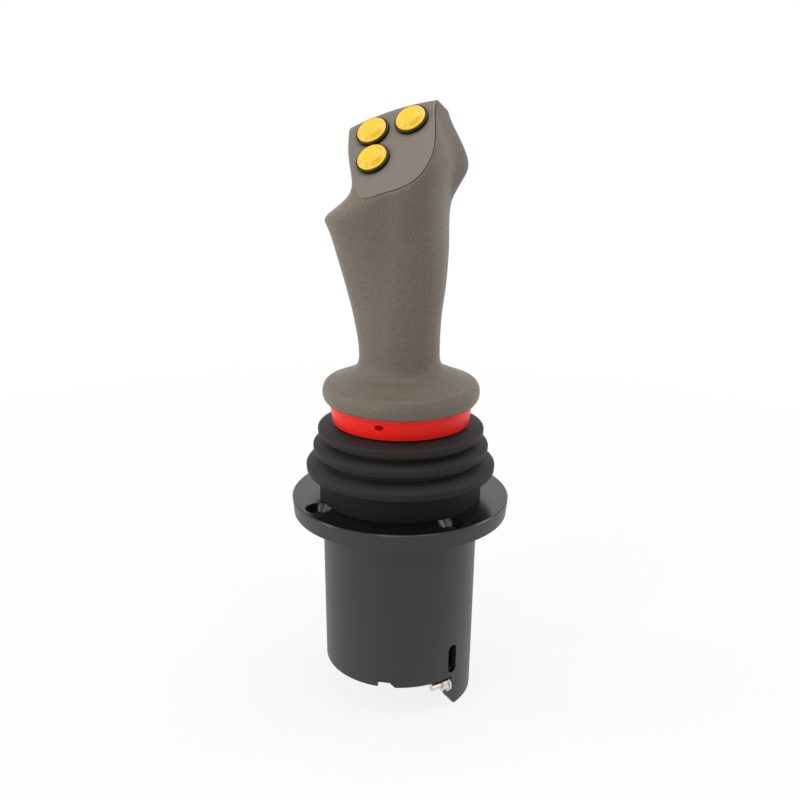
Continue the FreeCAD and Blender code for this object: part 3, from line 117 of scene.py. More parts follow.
class Graph:
    """The node tree of one material, with a Principled shader at its end."""

    def __init__(self, name: str) -> None:
        """Makes the material.

        Args:
            name: The material's name.
        """
        self.material = bpy.data.materials.new(name)
        self.material.use_nodes = True
        self.tree = self.material.node_tree
        self.tree.nodes.clear()
        self.shader = self.node("ShaderNodeBsdfPrincipled").owner
        self.output = self.tree.nodes.new("ShaderNodeOutputMaterial")
        self.tree.links.new(self.shader.outputs["BSDF"], self.output.inputs["Surface"])

    def node(self, kind: str, settings: dict[str, Any] | None = None,
             sockets: dict[str | int, Any] | None = None, output: str | int = 0) -> "Value":
        """Adds a node of any type.

        Args:
            kind: The node's type name.
            settings: The node's own settings; "stops" are a ramp's places and colours.
            sockets: A number, a colour or a link for each named input.
            output: The output that is wanted.

        Returns:
            The wanted output as a value.
        """
        made = self.tree.nodes.new(kind)
        for key, setting in (settings or {}).items():
            if key == "stops":
                self._stops(made.color_ramp, setting)
            else:
                setattr(made, key, setting)
        for key, value in (sockets or {}).items():
            self.feed(made.inputs[key], value)
        return Value(self, made.outputs[output])

    @staticmethod
    def _stops(ramp: bpy.types.ColorRamp, stops: Sequence[tuple[float, float]]) -> None:
        """Sets a ramp's grey stops."""
        while len(ramp.elements) < len(stops):
            ramp.elements.new(0.5)
        for element, (place, grey) in zip(ramp.elements, stops):
            element.position = place
            element.color = (grey, grey, grey, 1.0)

    def feed(self, socket: bpy.types.NodeSocket, value: Any) -> None:
        """Gives an input its value or link.

        Args:
            socket: The node's input.
            value: A shader value, a colour or a plain setting.
        """
        if isinstance(value, Value):
            self.tree.links.new(value.socket, socket)
        elif isinstance(value, tuple) and len(value) == 3 and socket.type == "RGBA":
            socket.default_value = (*value, 1.0)
        else:
            socket.default_value = value

    def set(self, name: str, value: Any) -> None:
        """Gives one of the shader's own inputs its value or link."""
        self.feed(self.shader.inputs[name], value)

    def place(self, scale: Sequence[float] = (1.0, 1.0, 1.0)) -> "Value":
        """Object coordinates, stretched by a scale."""
        coordinates = self.node("ShaderNodeTexCoord", output="Object")
        return self.node("ShaderNodeMapping", None, {"Vector": coordinates, "Scale": tuple(scale)})

    def noise(self, size: float, detail: float = 2.0, rough: float = 0.5,
              scale: Sequence[float] = (1.0, 1.0, 1.0)) -> "Value":
        """Noise whose features are about as large as a size in millimetres."""
        return self.node("ShaderNodeTexNoise", None,
                         {"Vector": self.place(scale), "Scale": 1 / (size * MM),
                          "Detail": detail, "Roughness": rough})

    def cells(self, size: float, feature: str = "F1") -> "Value":
        """The distance to the cells' centres or edges, for a cell size in millimetres."""
        return self.node("ShaderNodeTexVoronoi", {"feature": feature},
                         {"Vector": self.place(), "Scale": 1 / (size * MM)}, "Distance")

    def ramp(self, value: "Value", *stops: tuple[float, float]) -> "Value":
        """A value read through a ramp of grey stops."""
        return self.node("ShaderNodeValToRGB", {"stops": stops}, {"Fac": value})

    def mix(self, share: "Value | float", first: Any, second: Any) -> "Value":
        """A colour between two colours."""
        made = self.node("ShaderNodeMix", {"data_type": "RGBA"}, {"Factor": share})
        node = made.owner
        self.feed(node.inputs[6], first)
        self.feed(node.inputs[7], second)
        return Value(self, node.outputs[2])

    def axis(self, vector: "Value", name: str) -> "Value":
        """One component of a vector."""
        return self.node("ShaderNodeSeparateXYZ", None, {"Vector": vector}, name)

    def facing(self) -> "Value":
        """The surface's own normal."""
        return self.node("ShaderNodeNewGeometry", output="Normal")

    def bump(self, height: "Value", depth: float) -> None:
        """Feeds the shader a bump of a depth in millimetres."""
        sockets = {"Height": height, "Distance": depth * MM, "Strength": 1.0}
        self.set("Normal", self.node("ShaderNodeBump", None, sockets))


def arithmetic(operation: str, swapped: bool = False) -> Callable[["Value", Any], "Value"]:
    """An operator of a value, as a method that adds a Math node.

    Args:
        operation: The Math node's operation.
        swapped: Whether the other number comes first.

    Returns:
        The method.
    """
    def method(self: "Value", other: Any) -> "Value":
        """Adds the Math node for the two numbers."""
        first, second = (other, self) if swapped else (self, other)
        return self.math(operation, first, second)

    return method


@dataclass(frozen=True)
class Value:
    """A socket's value, on which arithmetic adds Math nodes."""

    graph: Graph
    socket: bpy.types.NodeSocket

    @property
    def owner(self) -> bpy.types.Node:
        """The node that gives the value."""
        return self.socket.node

    def math(self, operation: str, first: Any, second: Any = 0.0) -> "Value":
        """One Math node on two values or numbers."""
        return self.graph.node("ShaderNodeMath", {"operation": operation}, {0: first, 1: second})

    __add__, __radd__ = arithmetic("ADD"), arithmetic("ADD", True)
    __sub__, __rsub__ = arithmetic("SUBTRACT"), arithmetic("SUBTRACT", True)
    __mul__, __rmul__ = arithmetic("MULTIPLY"), arithmetic("MULTIPLY", True)
    __truediv__, __rtruediv__ = arithmetic("DIVIDE"), arithmetic("DIVIDE", True)

    def above(self, level: float) -> "Value":
        """One where the value is above a level, zero elsewhere."""
        return self.math("GREATER_THAN", self, level)

    def absolute(self) -> "Value":
        """The value without its sign."""
        return self.math("ABSOLUTE", self)

    def clamped(self) -> "Value":
        """The value held between zero and one."""
        return self.math("MINIMUM", self.math("MAXIMUM", self, 0.0), 1.0)


class Texture(Enum):
    """What breaks a surface up.

    Each gives the grain's size in millimetres, its detail, its roughness, its stretch along Z,
    and how far the finish's roughness follows it.
    """

    MOULDED = (0.3, 2.0, 0.5, 1.0, 0.08)
    RUBBER = (0.7, 4.0, 0.6, 1.0, 0.12)
    GLOSS = (6.0, 2.0, 0.5, 1.0, 0.05)
    BRUSHED = (0.25, 3.0, 0.6, 0.08, 0.15)
    CAST = (0.5, 3.0, 0.5, 1.0, 0.1)
    BOARD = (1.6, 2.0, 0.5, 1.0, 0.1)


@dataclass(frozen=True)
class Finish:
    """A plain finish: one colour with slight mottle, and a texture in its roughness and bump."""

    name: str
    colour: Colour
    roughness: float
    texture: Texture = Texture.MOULDED
    metallic: float = 0.0
    coat: float = 0.0
    mottle: float = 0.06
    depth: float = 0.02
    specular: float = 0.5
    patch: float = 9.0

    def make(self) -> bpy.types.Material:
        """Builds the material.

        Returns:
            The finished material.
        """
        graph = Graph(self.name)
        graph.set("Metallic", self.metallic)
        graph.set("Coat Weight", self.coat)
        graph.set("Coat Roughness", 0.08)
        graph.set("Specular IOR Level", self.specular)
        self.paint(graph)
        return graph.material

    def paint(self, graph: Graph) -> None:
        """Adds the colour, roughness and bump.

        Args:
            graph: The material's node tree.
        """
        graph.set("Base Color", self.mottled(graph, 1 - self.mottle, 1 + self.mottle))
        graph.bump(self.grain(graph), self.depth)

    def tinted(self, share: float) -> Colour:
        """The finish's colour, made darker or lighter."""
        return tuple(min(value * share, 1.0) for value in self.colour)

    def mottled(self, graph: Graph, dark: float, light: float) -> Value:
        """The colour in broad patches between two shares of itself."""
        return graph.mix(graph.noise(self.patch, 3.0), self.tinted(dark), self.tinted(light))

    def grain(self, graph: Graph) -> Value:
        """The texture's height, which the roughness follows.

        Args:
            graph: The material's nodes.

        Returns:
            The height, from 0 to 1.
        """
        size, detail, rough, stretch, swing = self.texture.value
        if self.texture is Texture.BOARD:
            tracks = graph.cells(size, "DISTANCE_TO_EDGE")
            height = graph.ramp(tracks, (0.06, 0.0), (0.12, 1.0))
        else:
            height = graph.noise(size, detail, rough, (1.0, 1.0, stretch))
        graph.set("Roughness", (height * swing + (self.roughness - swing / 2)).clamped())
        return height


@dataclass(frozen=True)
class GripPlastic(Finish):
    """The grip's warm grey plastic with a fine leather grain, painted shade in the grain's hollows
    and faint painted glints on its ridges.
    """

    patch: float = 12.0
    cell: float = 0.8
    crinkle: float = 0.28
    # painted shade: the share of the colour left where the grain is low
    painted_pore_shade: float = 0.68
    swing: float = 0.16
    # painted highlight: the lighter colour painted on the grain's ridges
    painted_glint: Colour = tone(150, 141, 129)

    def paint(self, graph: Graph) -> None:
        """Adds the mottle, the grain, painted shade in the grain's hollows and painted glints on
        its ridges.

        Args:
            graph: The material's nodes.
        """
        fine = graph.noise(self.crinkle, 2.0, 0.6)
        pebbles = graph.ramp(graph.cells(self.cell), (0.12, 1.0), (0.62, 0.0))
        grain = pebbles * 0.75 + fine * 0.35
        base = self.mottled(graph, 1 - self.mottle, 1 + self.mottle)
        # painted shade: the low parts of the grain are darkened
        pore_shade_mask = graph.ramp(grain, (0.15, 1.0), (0.55, 0.0)) * 0.55
        base = graph.mix(pore_shade_mask, base, self.tinted(self.painted_pore_shade))
        # painted highlight: the grain's highest ridges are lightened towards this colour
        glint_mask = graph.ramp(grain, (0.72, 0.0), (0.98, 1.0))
        glint_mask = glint_mask * graph.ramp(fine, (0.45, 0.0), (0.7, 1.0))
        graph.set("Base Color", graph.mix(glint_mask * 0.35, base, self.painted_glint))
        level = self.roughness + self.swing / 2
        graph.set("Roughness", (grain * -self.swing + level).clamped())
        graph.bump(grain, self.depth)


@dataclass(frozen=True)
class HousingPlastic(Finish):
    """Black moulded plastic: matte and finely textured on its sides, glossy on what faces up, where
    painted shade also darkens its colour.
    """

    patch: float = 14.0
    gloss: float = 0.16
    parting: float = 0.22
    line_colour: Colour = tone(16, 16, 16)
    # painted shade: the darker colour given to faces that point up
    top_shade_colour: Colour = tone(9, 8, 7)

    def paint(self, graph: Graph) -> None:
        """Adds the two surfaces, painted shade on what faces up, and the mould's parting line on
        the flange's front edge.

        Args:
            graph: The material's nodes.
        """
        place = graph.place()
        line = (1 - graph.axis(place, "X").absolute() / (self.parting * MM)).clamped()
        line = line * (1 - graph.axis(place, "Y").above(0.0)) * graph.axis(place, "Z").above(0.0)
        # faces that point up: lower roughness for their real gloss, and a darker colour as painted
        # shade
        gloss_and_top_shade = graph.ramp(graph.axis(graph.facing(), "Z"), (0.35, 0.0), (0.7, 1.0))
        fine = graph.noise(0.22, 3.0, 0.6)
        marked = graph.mix(line * 0.7, self.mottled(graph, 0.9, 1.12), self.line_colour)
        # painted shade: darkens the colour where faces point up
        graph.set("Base Color", graph.mix(gloss_and_top_shade * 0.85, marked, self.top_shade_colour))
        matte = fine * 0.1 + (self.roughness - 0.05) + graph.noise(self.patch, 3.0) * 0.05
        shine = gloss_and_top_shade * (self.gloss - self.roughness)
        graph.set("Roughness", (matte + shine).clamped())
        graph.bump((fine + line * 6.0) * (1 - gloss_and_top_shade), self.depth)


@dataclass(frozen=True)
class Rubber(Finish):
    """Matte black rubber with painted light on what faces up, a painted shadow on its cuff and the
    mould's thin line on one side.
    """

    # painted light: how much lighter faces that point up are made
    painted_top_light: float = 1.5
    painted_top_light_patch: float = 11.0
    line_slope: float = 0.16
    line_half: float = 0.3
    line_colour: Colour = tone(8, 8, 8)
    # painted shadow: below these heights the cuff darkens to this share of its colour
    foot: Place = (19.4, 20.2)
    cuff_shadow: float = 0.5

    def paint(self, graph: Graph) -> None:
        """Adds the fine grain, the painted light on what faces up, the painted shadow on the cuff
        and the mould line.

        Args:
            graph: The material's nodes.
        """
        fine = self.grain(graph)
        place = graph.place()
        along = graph.axis(place, "X")
        away = (graph.axis(place, "Y") + along * self.line_slope).absolute()
        near = (1 - away / (self.line_half * MM)).clamped() * along.above(0.0)
        up = graph.axis(graph.facing(), "Z").clamped()
        # painted light: faces that point up are lightened in broad patches
        share = up * graph.noise(self.painted_top_light_patch, 3.0) * 0.8
        light_and_shade_colour = graph.mix(share, self.colour, self.tinted(self.painted_top_light))
        # painted shadow: the cuff under the lowest lip is darkened
        low, high = self.foot
        above = ((graph.axis(place, "Z") / MM - low) / (high - low)).clamped()
        light_and_shade_colour = graph.mix(above, self.tinted(self.cuff_shadow), light_and_shade_colour)
        graph.set("Base Color", graph.mix(near * 0.85, light_and_shade_colour, self.line_colour))
        graph.bump(fine * 0.4 - near * 9.0, self.depth)


class Finishes:
    """Every finish by the record's material slot, made once."""

    def __init__(self) -> None:
        """Names the finishes and makes their materials."""
        black, rubber = tone(40, 39, 38), tone(36, 35, 33)
        brushed, cast, gloss = Texture.BRUSHED, Texture.CAST, Texture.GLOSS
        listed = (
            HousingPlastic("housing_plastic", black, 0.42, specular=0.48),
            Rubber("bellows_rubber", rubber, 0.6, Texture.RUBBER, depth=0.05, specular=0.18),
            Finish("clamp_red", tone(246, 30, 16), 0.36, mottle=0.03, depth=0.01, specular=0.2),
            GripPlastic("grip_plastic", tone(122, 112, 101), 0.38, depth=0.09, specular=0.16),
            Finish("face_plastic", tone(121, 113, 102), 0.44, cast, mottle=0.03, depth=0.008,
                   specular=0.35),
            Finish("button_yellow", tone(244, 198, 20), 0.28, gloss, coat=0.25, mottle=0.03,
                   depth=0.01),
            Finish("bezel_plastic", tone(15, 14, 14), 0.3, depth=0.008, specular=0.3),
            Finish("screw_steel", tone(176, 177, 180), 0.3, brushed, 1.0, depth=0.01),
            Finish("plated_steel", tone(214, 208, 196), 0.2, brushed, 1.0, depth=0.006),
            Finish("spring_steel", tone(140, 141, 146), 0.34, brushed, 1.0, depth=0.01),
            Finish("bush_bronze", tone(186, 148, 92), 0.38, cast, 1.0, depth=0.01),
            Finish("gimbal_metal", tone(178, 179, 182), 0.4, cast, 1.0),
            Finish("magnet_metal", tone(186, 184, 180), 0.22, brushed, 1.0, depth=0.006),
            Finish("circuit_board", tone(22, 92, 52), 0.34, Texture.BOARD, coat=0.3, depth=0.03),
            Finish("connector_plastic", tone(36, 36, 38), 0.48, depth=0.015),
            Finish("lamp_red", tone(226, 30, 52), 0.16, gloss, coat=0.4, depth=0.004),
        )
        self.made = {finish.name: finish.make() for finish in listed}

    def __getitem__(self, name: str) -> bpy.types.Material:
        """The material of a slot."""
        return self.made[name]


class Bench:
    """The modelling bench: Blender's own tools, each used on what it has just selected."""

    @staticmethod
    def clear() -> None:
        """Deselects everything."""
        if bpy.context.object is not None and bpy.context.object.mode != "OBJECT":
            bpy.ops.object.mode_set(mode="OBJECT")
        bpy.ops.object.select_all(action="DESELECT")

    @classmethod
    def take(cls, piece: Piece) -> Piece:
        """Makes a piece the only selected and active one."""
        cls.clear()
        piece.select_set(True)
        bpy.context.view_layer.objects.active = piece
        return piece

    @classmethod
    @contextmanager
    def editing(cls, piece: Piece) -> Iterator[None]:
        """Edit mode on a piece, with all of it selected at the start."""
        cls.take(piece)
        bpy.ops.object.mode_set(mode="EDIT")
        bpy.ops.mesh.select_all(action="SELECT")
        yield
        bpy.ops.object.mode_set(mode="OBJECT")

    @staticmethod
    def face_outwards() -> None:
        """Turns every face of the edited mesh outwards."""
        bpy.ops.mesh.select_all(action="SELECT")
        bpy.ops.mesh.normals_make_consistent(inside=False)

    @classmethod
    def modify(cls, piece: Piece, kind: str, **settings: Any) -> None:
        """Adds a modifier with its settings to a piece and applies it."""
        cls.take(piece)
        modifier = piece.modifiers.new("step", kind)
        for key, value in settings.items():
            setattr(modifier, key, value)
        bpy.ops.object.modifier_apply(modifier=modifier.name)

    @staticmethod
    def link(name: str, data: bpy.types.ID) -> Piece:
        """An object in the scene for a mesh, a lamp's light or a camera's data."""
        made = bpy.data.objects.new(name, data)
        bpy.context.scene.collection.objects.link(made)
        return made

    @classmethod
    def copy(cls, source: Piece, name: str) -> Piece:
        """A copy of a piece, with its own mesh and no parent."""
        return cls.take(cls.link(name, source.data.copy()))

    @classmethod
    def merge(cls, piece: Piece, flatten: bool = False) -> None:
        """Joins loose triangles, and on request dissolves flat neighbours into one face."""
        with cls.editing(piece):
            bpy.ops.mesh.remove_doubles(threshold=WELD)
            if flatten:
                bpy.ops.mesh.dissolve_limited(angle_limit=radians(0.6))

    @classmethod
    def soften(cls, piece: Piece, width: float) -> None:
        """Bevels a piece's sharp edges by a width in millimetres."""
        cls.modify(piece, "BEVEL", width=width * MM, segments=2, limit_method="ANGLE",
                   angle_limit=radians(38.0), harden_normals=False)

    @classmethod
    def smooth(cls, piece: Piece, angle: float = 32.0) -> None:
        """Shades a piece smooth except over its sharp edges."""
        cls.take(piece)
        bpy.ops.object.shade_smooth_by_angle(angle=radians(angle))

    @classmethod
    def even(cls, piece: Piece) -> None:
        """Weights a piece's normals by the faces' areas, so that long faces shade evenly."""
        cls.modify(piece, "WEIGHTED_NORMAL", keep_sharp=True, weight=100)

    @classmethod
    def cut(cls, piece: Piece, cutter: Piece,
            operation: str = "DIFFERENCE") -> None:
        """Applies a Boolean and removes the cutter.

        Args:
            piece: The piece that is cut.
            cutter: The cutter.
            operation: DIFFERENCE or INTERSECT.
        """
        cls.modify(piece, "BOOLEAN", operation=operation, solver="EXACT", object=cutter)
        bpy.data.objects.remove(cutter)

    @classmethod
    def lathe(cls, name: str, profile: Sequence[Place], steps: int,
              closed: bool = False) -> Piece:
        """Spins a profile about the lever's axis.

        Args:
            name: The piece's name.
            profile: Radius and height of each point, in millimetres, from below.
            steps: Steps of the spin.
            closed: Whether the profile's last point joins its first.

        Returns:
            The piece, in metres about the origin.
        """
        cls.clear()
        bpy.ops.mesh.primitive_plane_add(size=0.01)
        piece = bpy.context.object
        piece.name = piece.data.name = name
        with cls.editing(piece):
            bpy.ops.mesh.merge(type="CENTER")
            first = Vector((profile[0][0] * MM, 0, profile[0][1] * MM))
            bpy.ops.transform.translate(value=first)
            for start, end in zip(profile, profile[1:]):
                step = ((end[0] - start[0]) * MM, 0, (end[1] - start[1]) * MM)
                bpy.ops.mesh.extrude_region_move(TRANSFORM_OT_translate={"value": step})
            bpy.ops.mesh.select_all(action="SELECT")
            if closed:
                mesh = bmesh.from_edit_mesh(piece.data)
                mesh.verts.ensure_lookup_table()
                mesh.edges.new((mesh.verts[0], mesh.verts[-1]))
                bmesh.update_edit_mesh(piece.data)
            bpy.ops.mesh.spin(steps=steps, angle=tau, center=(0, 0, 0), axis=(0, 0, 1))
            bpy.ops.mesh.select_all(action="SELECT")
            bpy.ops.mesh.remove_doubles(threshold=WELD)
            cls.face_outwards()
        return piece

    @classmethod
    def put(cls, piece: Piece, place: Matrix) -> Piece:
        """Moves a piece by a matrix and leaves its object at the origin."""
        piece.matrix_world = place
        cls.take(piece)
        bpy.ops.object.transform_apply(location=True, rotation=True, scale=True)
        return piece

    @classmethod
    def drum(cls, radius: float, depth: float, sides: int, place: Matrix) -> Piece:
        """A cylinder in millimetres, moved by a matrix and used only as a cutter."""
        cls.clear()
        bpy.ops.mesh.primitive_cylinder_add(vertices=sides, radius=radius * MM, depth=depth * MM)
        return cls.put(bpy.context.object, place)

    @classmethod
    def block(cls, low: Triple, high: Triple) -> Piece:
        """A box between two corners in millimetres, used only as a cutter.

        Args:
            low: The left, front, lower corner.
            high: The right, back, upper corner.

        Returns:
            The box.
        """
        cls.clear()
        middle = [(a + b) / 2 * MM for a, b in zip(low, high)]
        bpy.ops.mesh.primitive_cube_add(size=1.0, location=middle)
        made = bpy.context.object
        made.scale = [(b - a) * MM for a, b in zip(low, high)]
        bpy.ops.object.transform_apply(location=True, rotation=True, scale=True)
        return made


def rounded(points: Sequence[Triple], steps: int = 6) -> list[Place]:
    """A line whose corners are rounded.

    Args:
        points: Radius, height and corner radius of each point, in millimetres.
        steps: Points on each corner's arc.

    Returns:
        The line's points.
    """
    line: list[Place] = []
    for index, (x, z, radius) in enumerate(points):
        here = Vector((x, z))
        if radius <= 0 or index in (0, len(points) - 1):
            line.append((x, z))
            continue
        back = (Vector(points[index - 1][:2]) - here).normalized()
        ahead = (Vector(points[index + 1][:2]) - here).normalized()
        half = back.angle(ahead) / 2
        reach = radius / tan(half)
        middle = here + (back + ahead).normalized() * (radius / sin(half))
        start = here + back * reach - middle
        end = here + ahead * reach - middle
        sweep = atan2(start.x * end.y - start.y * end.x, start.dot(end))
        for step in range(steps + 1):
            point = middle + Matrix.Rotation(sweep * step / steps, 2) @ start
            line.append((point.x, point.y))
    return line


def halved(holds: Callable[[float], bool], low: float, high: float, times: int) -> float:
    """The last value between two for which a test holds, found by halving the stretch."""
    for _ in range(times):
        middle = (low + high) / 2
        low, high = (middle, high) if holds(middle) else (low, middle)
    return low


def leaned(slope: float) -> Matrix:
    """The turn of a flat on the leaning head, sloped towards or away from the operator."""
    lean = Matrix.Rotation(radians(-LEAN), 3, "Y")
    return lean @ Matrix.Rotation(radians(slope), 3, "X")


@dataclass
class Assembly:
    """What every sub-assembly shares: it dresses CAD nodes and puts its own pieces for them."""

    finishes: Finishes

    def coat(self, piece: Piece, finish: str) -> None:
        """Gives a piece its finish in place of any other."""
        piece.data.materials.clear()
        piece.data.materials.append(self.finishes[finish])

    def show(self, piece: Piece, slot: str, node: str, body: str | None,
             finish: str | None = None) -> None:
        """Dresses a finished piece and shows it in place of a CAD node.

        Args:
            piece: The piece.
            slot: The record's material slot.
            node: The CAD node that the piece stands for.
            body: The body that it rides on, or None where it is not attached.
            finish: The finish, where it isn't the slot's own.
        """
        self.coat(piece, finish or slot)
        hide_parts(node)
        if body:
            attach(piece, body)
        LOG.info("made %s with %d faces", piece.name, len(piece.data.polygons))

    def refine(self, node: str, slot: str, edge: float = 0.0) -> None:
        """Shows a CAD node by a copy with joined faces, softened edges and smooth shading.

        Args:
            node: The CAD node.
            slot: The record's material slot.
            edge: The bevel on sharp edges, in millimetres.
        """
        piece = Bench.copy(frame["nodes"][node], node + "_skin")
        Bench.merge(piece, edge > 0)
        if edge > 0:
            Bench.soften(piece, edge)
        Bench.smooth(piece)
        Bench.even(piece)
        self.show(piece, slot, node, frame["nodes"][node]["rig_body"])

    def paint(self, slot: str, *nodes: str) -> None:
        """Gives CAD nodes that stay as they are their finish."""
        for node in nodes:
            self.coat(frame["nodes"][node], slot)


@dataclass
class Base(Assembly):
    """The flanged can with its cover, connector, lamp and earth terminal."""

    def build(self) -> None:
        """Takes the nodes over and dresses them."""
        self.refine("housing", "housing_plastic", 0.35)
        self.refine("base_cover", "housing_plastic", 0.3)
        self.refine("connector_housing", "connector_plastic", 0.2)
        for node in ("earth_stud", "earth_washer", "earth_nut"):
            self.refine(node, "plated_steel", 0.12)
        self.refine("status_lamp", "lamp_red")
        self.paint("bush_bronze", "connector_pins")
        self.paint("screw_steel", "cover_screws", "board_standoffs", "board_screws", "frame_screws")
        self.paint("circuit_board", "main_board")


@dataclass
class Gimbal(Assembly):
    """The two crossed pivots with their springs, magnets and sensor boards."""

    def build(self) -> None:
        """Dresses the nodes, which stay as they are."""
        self.paint("gimbal_metal", "gimbal_frame", "gimbal_ring", "pivot_hub", "centring_arm_x",
                   "centring_arm_y")
        self.paint("bush_bronze", "pivot_bushes_x", "pivot_bushes_y")
        self.paint("screw_steel", "pivot_pins_x", "pivot_pins_y", "lever_tube", "clamp_screw")
        self.paint("spring_steel", "centring_spring_x", "centring_spring_y")
        self.paint("magnet_metal", "magnet_x", "magnet_y")
        self.paint("circuit_board", "sensor_board_x", "sensor_board_y")


@dataclass
class Bellows(Assembly):
    """The rubber bellows, split inside its lowest valley into two halves."""

    # Radius, height and corner radius: the cuff, three lips with their valleys, the neck.
    outline: tuple[Triple, ...] = (
        (41.3, 8.7, 0.0), (41.3, 19.2, 0.8), (47.8, 22.0, 1.7), (48.1, 26.0, 1.7),
        (39.0, 30.1, 0.7), (44.2, 32.1, 1.7), (44.5, 36.1, 1.6), (36.2, 39.7, 0.7),
        (41.8, 41.3, 1.5), (42.0, 45.1, 1.5), (33.0, 47.1, 0.4), (33.0, 47.6, 0.0))
    wall: float = 1.5
    split: float = 29.7
    top: float = 60.0
    stretch: Place = (18.6, 44.6)

    def half(self, name: str, low: float, high: float) -> Piece:
        """The walls between two heights as one closed piece."""
        outer, inner = self.part(0.0, low, high), self.part(self.wall, low, high)
        piece = Bench.lathe(name, outer + inner[::-1], 160, closed=True)
        Bench.smooth(piece, 60.0)
        self.show(piece, "bellows_rubber", "bellows", None)
        return piece

    def part(self, inset: float, low: float, high: float) -> list[Place]:
        """The stretch of the outline between two heights, with points on both heights.

        Args:
            inset: How far the stretch lies inside the outline.
            low: The lower height.
            high: The upper height.

        Returns:
            Radii and heights in millimetres.
        """
        corners = [(radius - inset, height, corner) for radius, height, corner in self.outline]
        line = rounded(corners, 8)
        points = []
        for start, end in zip(line, line[1:]):
            if low <= start[1] <= high:
                points.append(start)
            for level in (low, high):
                if (start[1] - level) * (end[1] - level) < 0:
                    share = (level - start[1]) / (end[1] - start[1])
                    points.append((start[0] + (end[0] - start[0]) * share, level))
        return points + ([line[-1]] if line[-1][1] <= high else [])

    def build(self) -> None:
        """Builds both halves."""
        lower = self.half("bellows_lower", 0.0, self.split)
        upper = self.half("bellows_upper", self.split, self.top)
        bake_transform(lower)
        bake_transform(upper)


@dataclass(frozen=True)
class Slope:
    """A flat, or a slightly arched one, that the grip is trimmed to."""

    facing: Vector
    level: float
    across: Vector = field(default_factory=lambda: Vector((1, 0, 0)))
    middle: float = 0.0
    arch: float = 0.0

    def drop(self, point: Vector, along: Vector) -> float:
        """How far a point goes down along the head's axis to reach the flat, in millimetres."""
        sag = self.arch * (self.across.dot(point) - self.middle) ** 2
        return (self.facing.dot(point) - self.level + sag) / self.facing.dot(along)


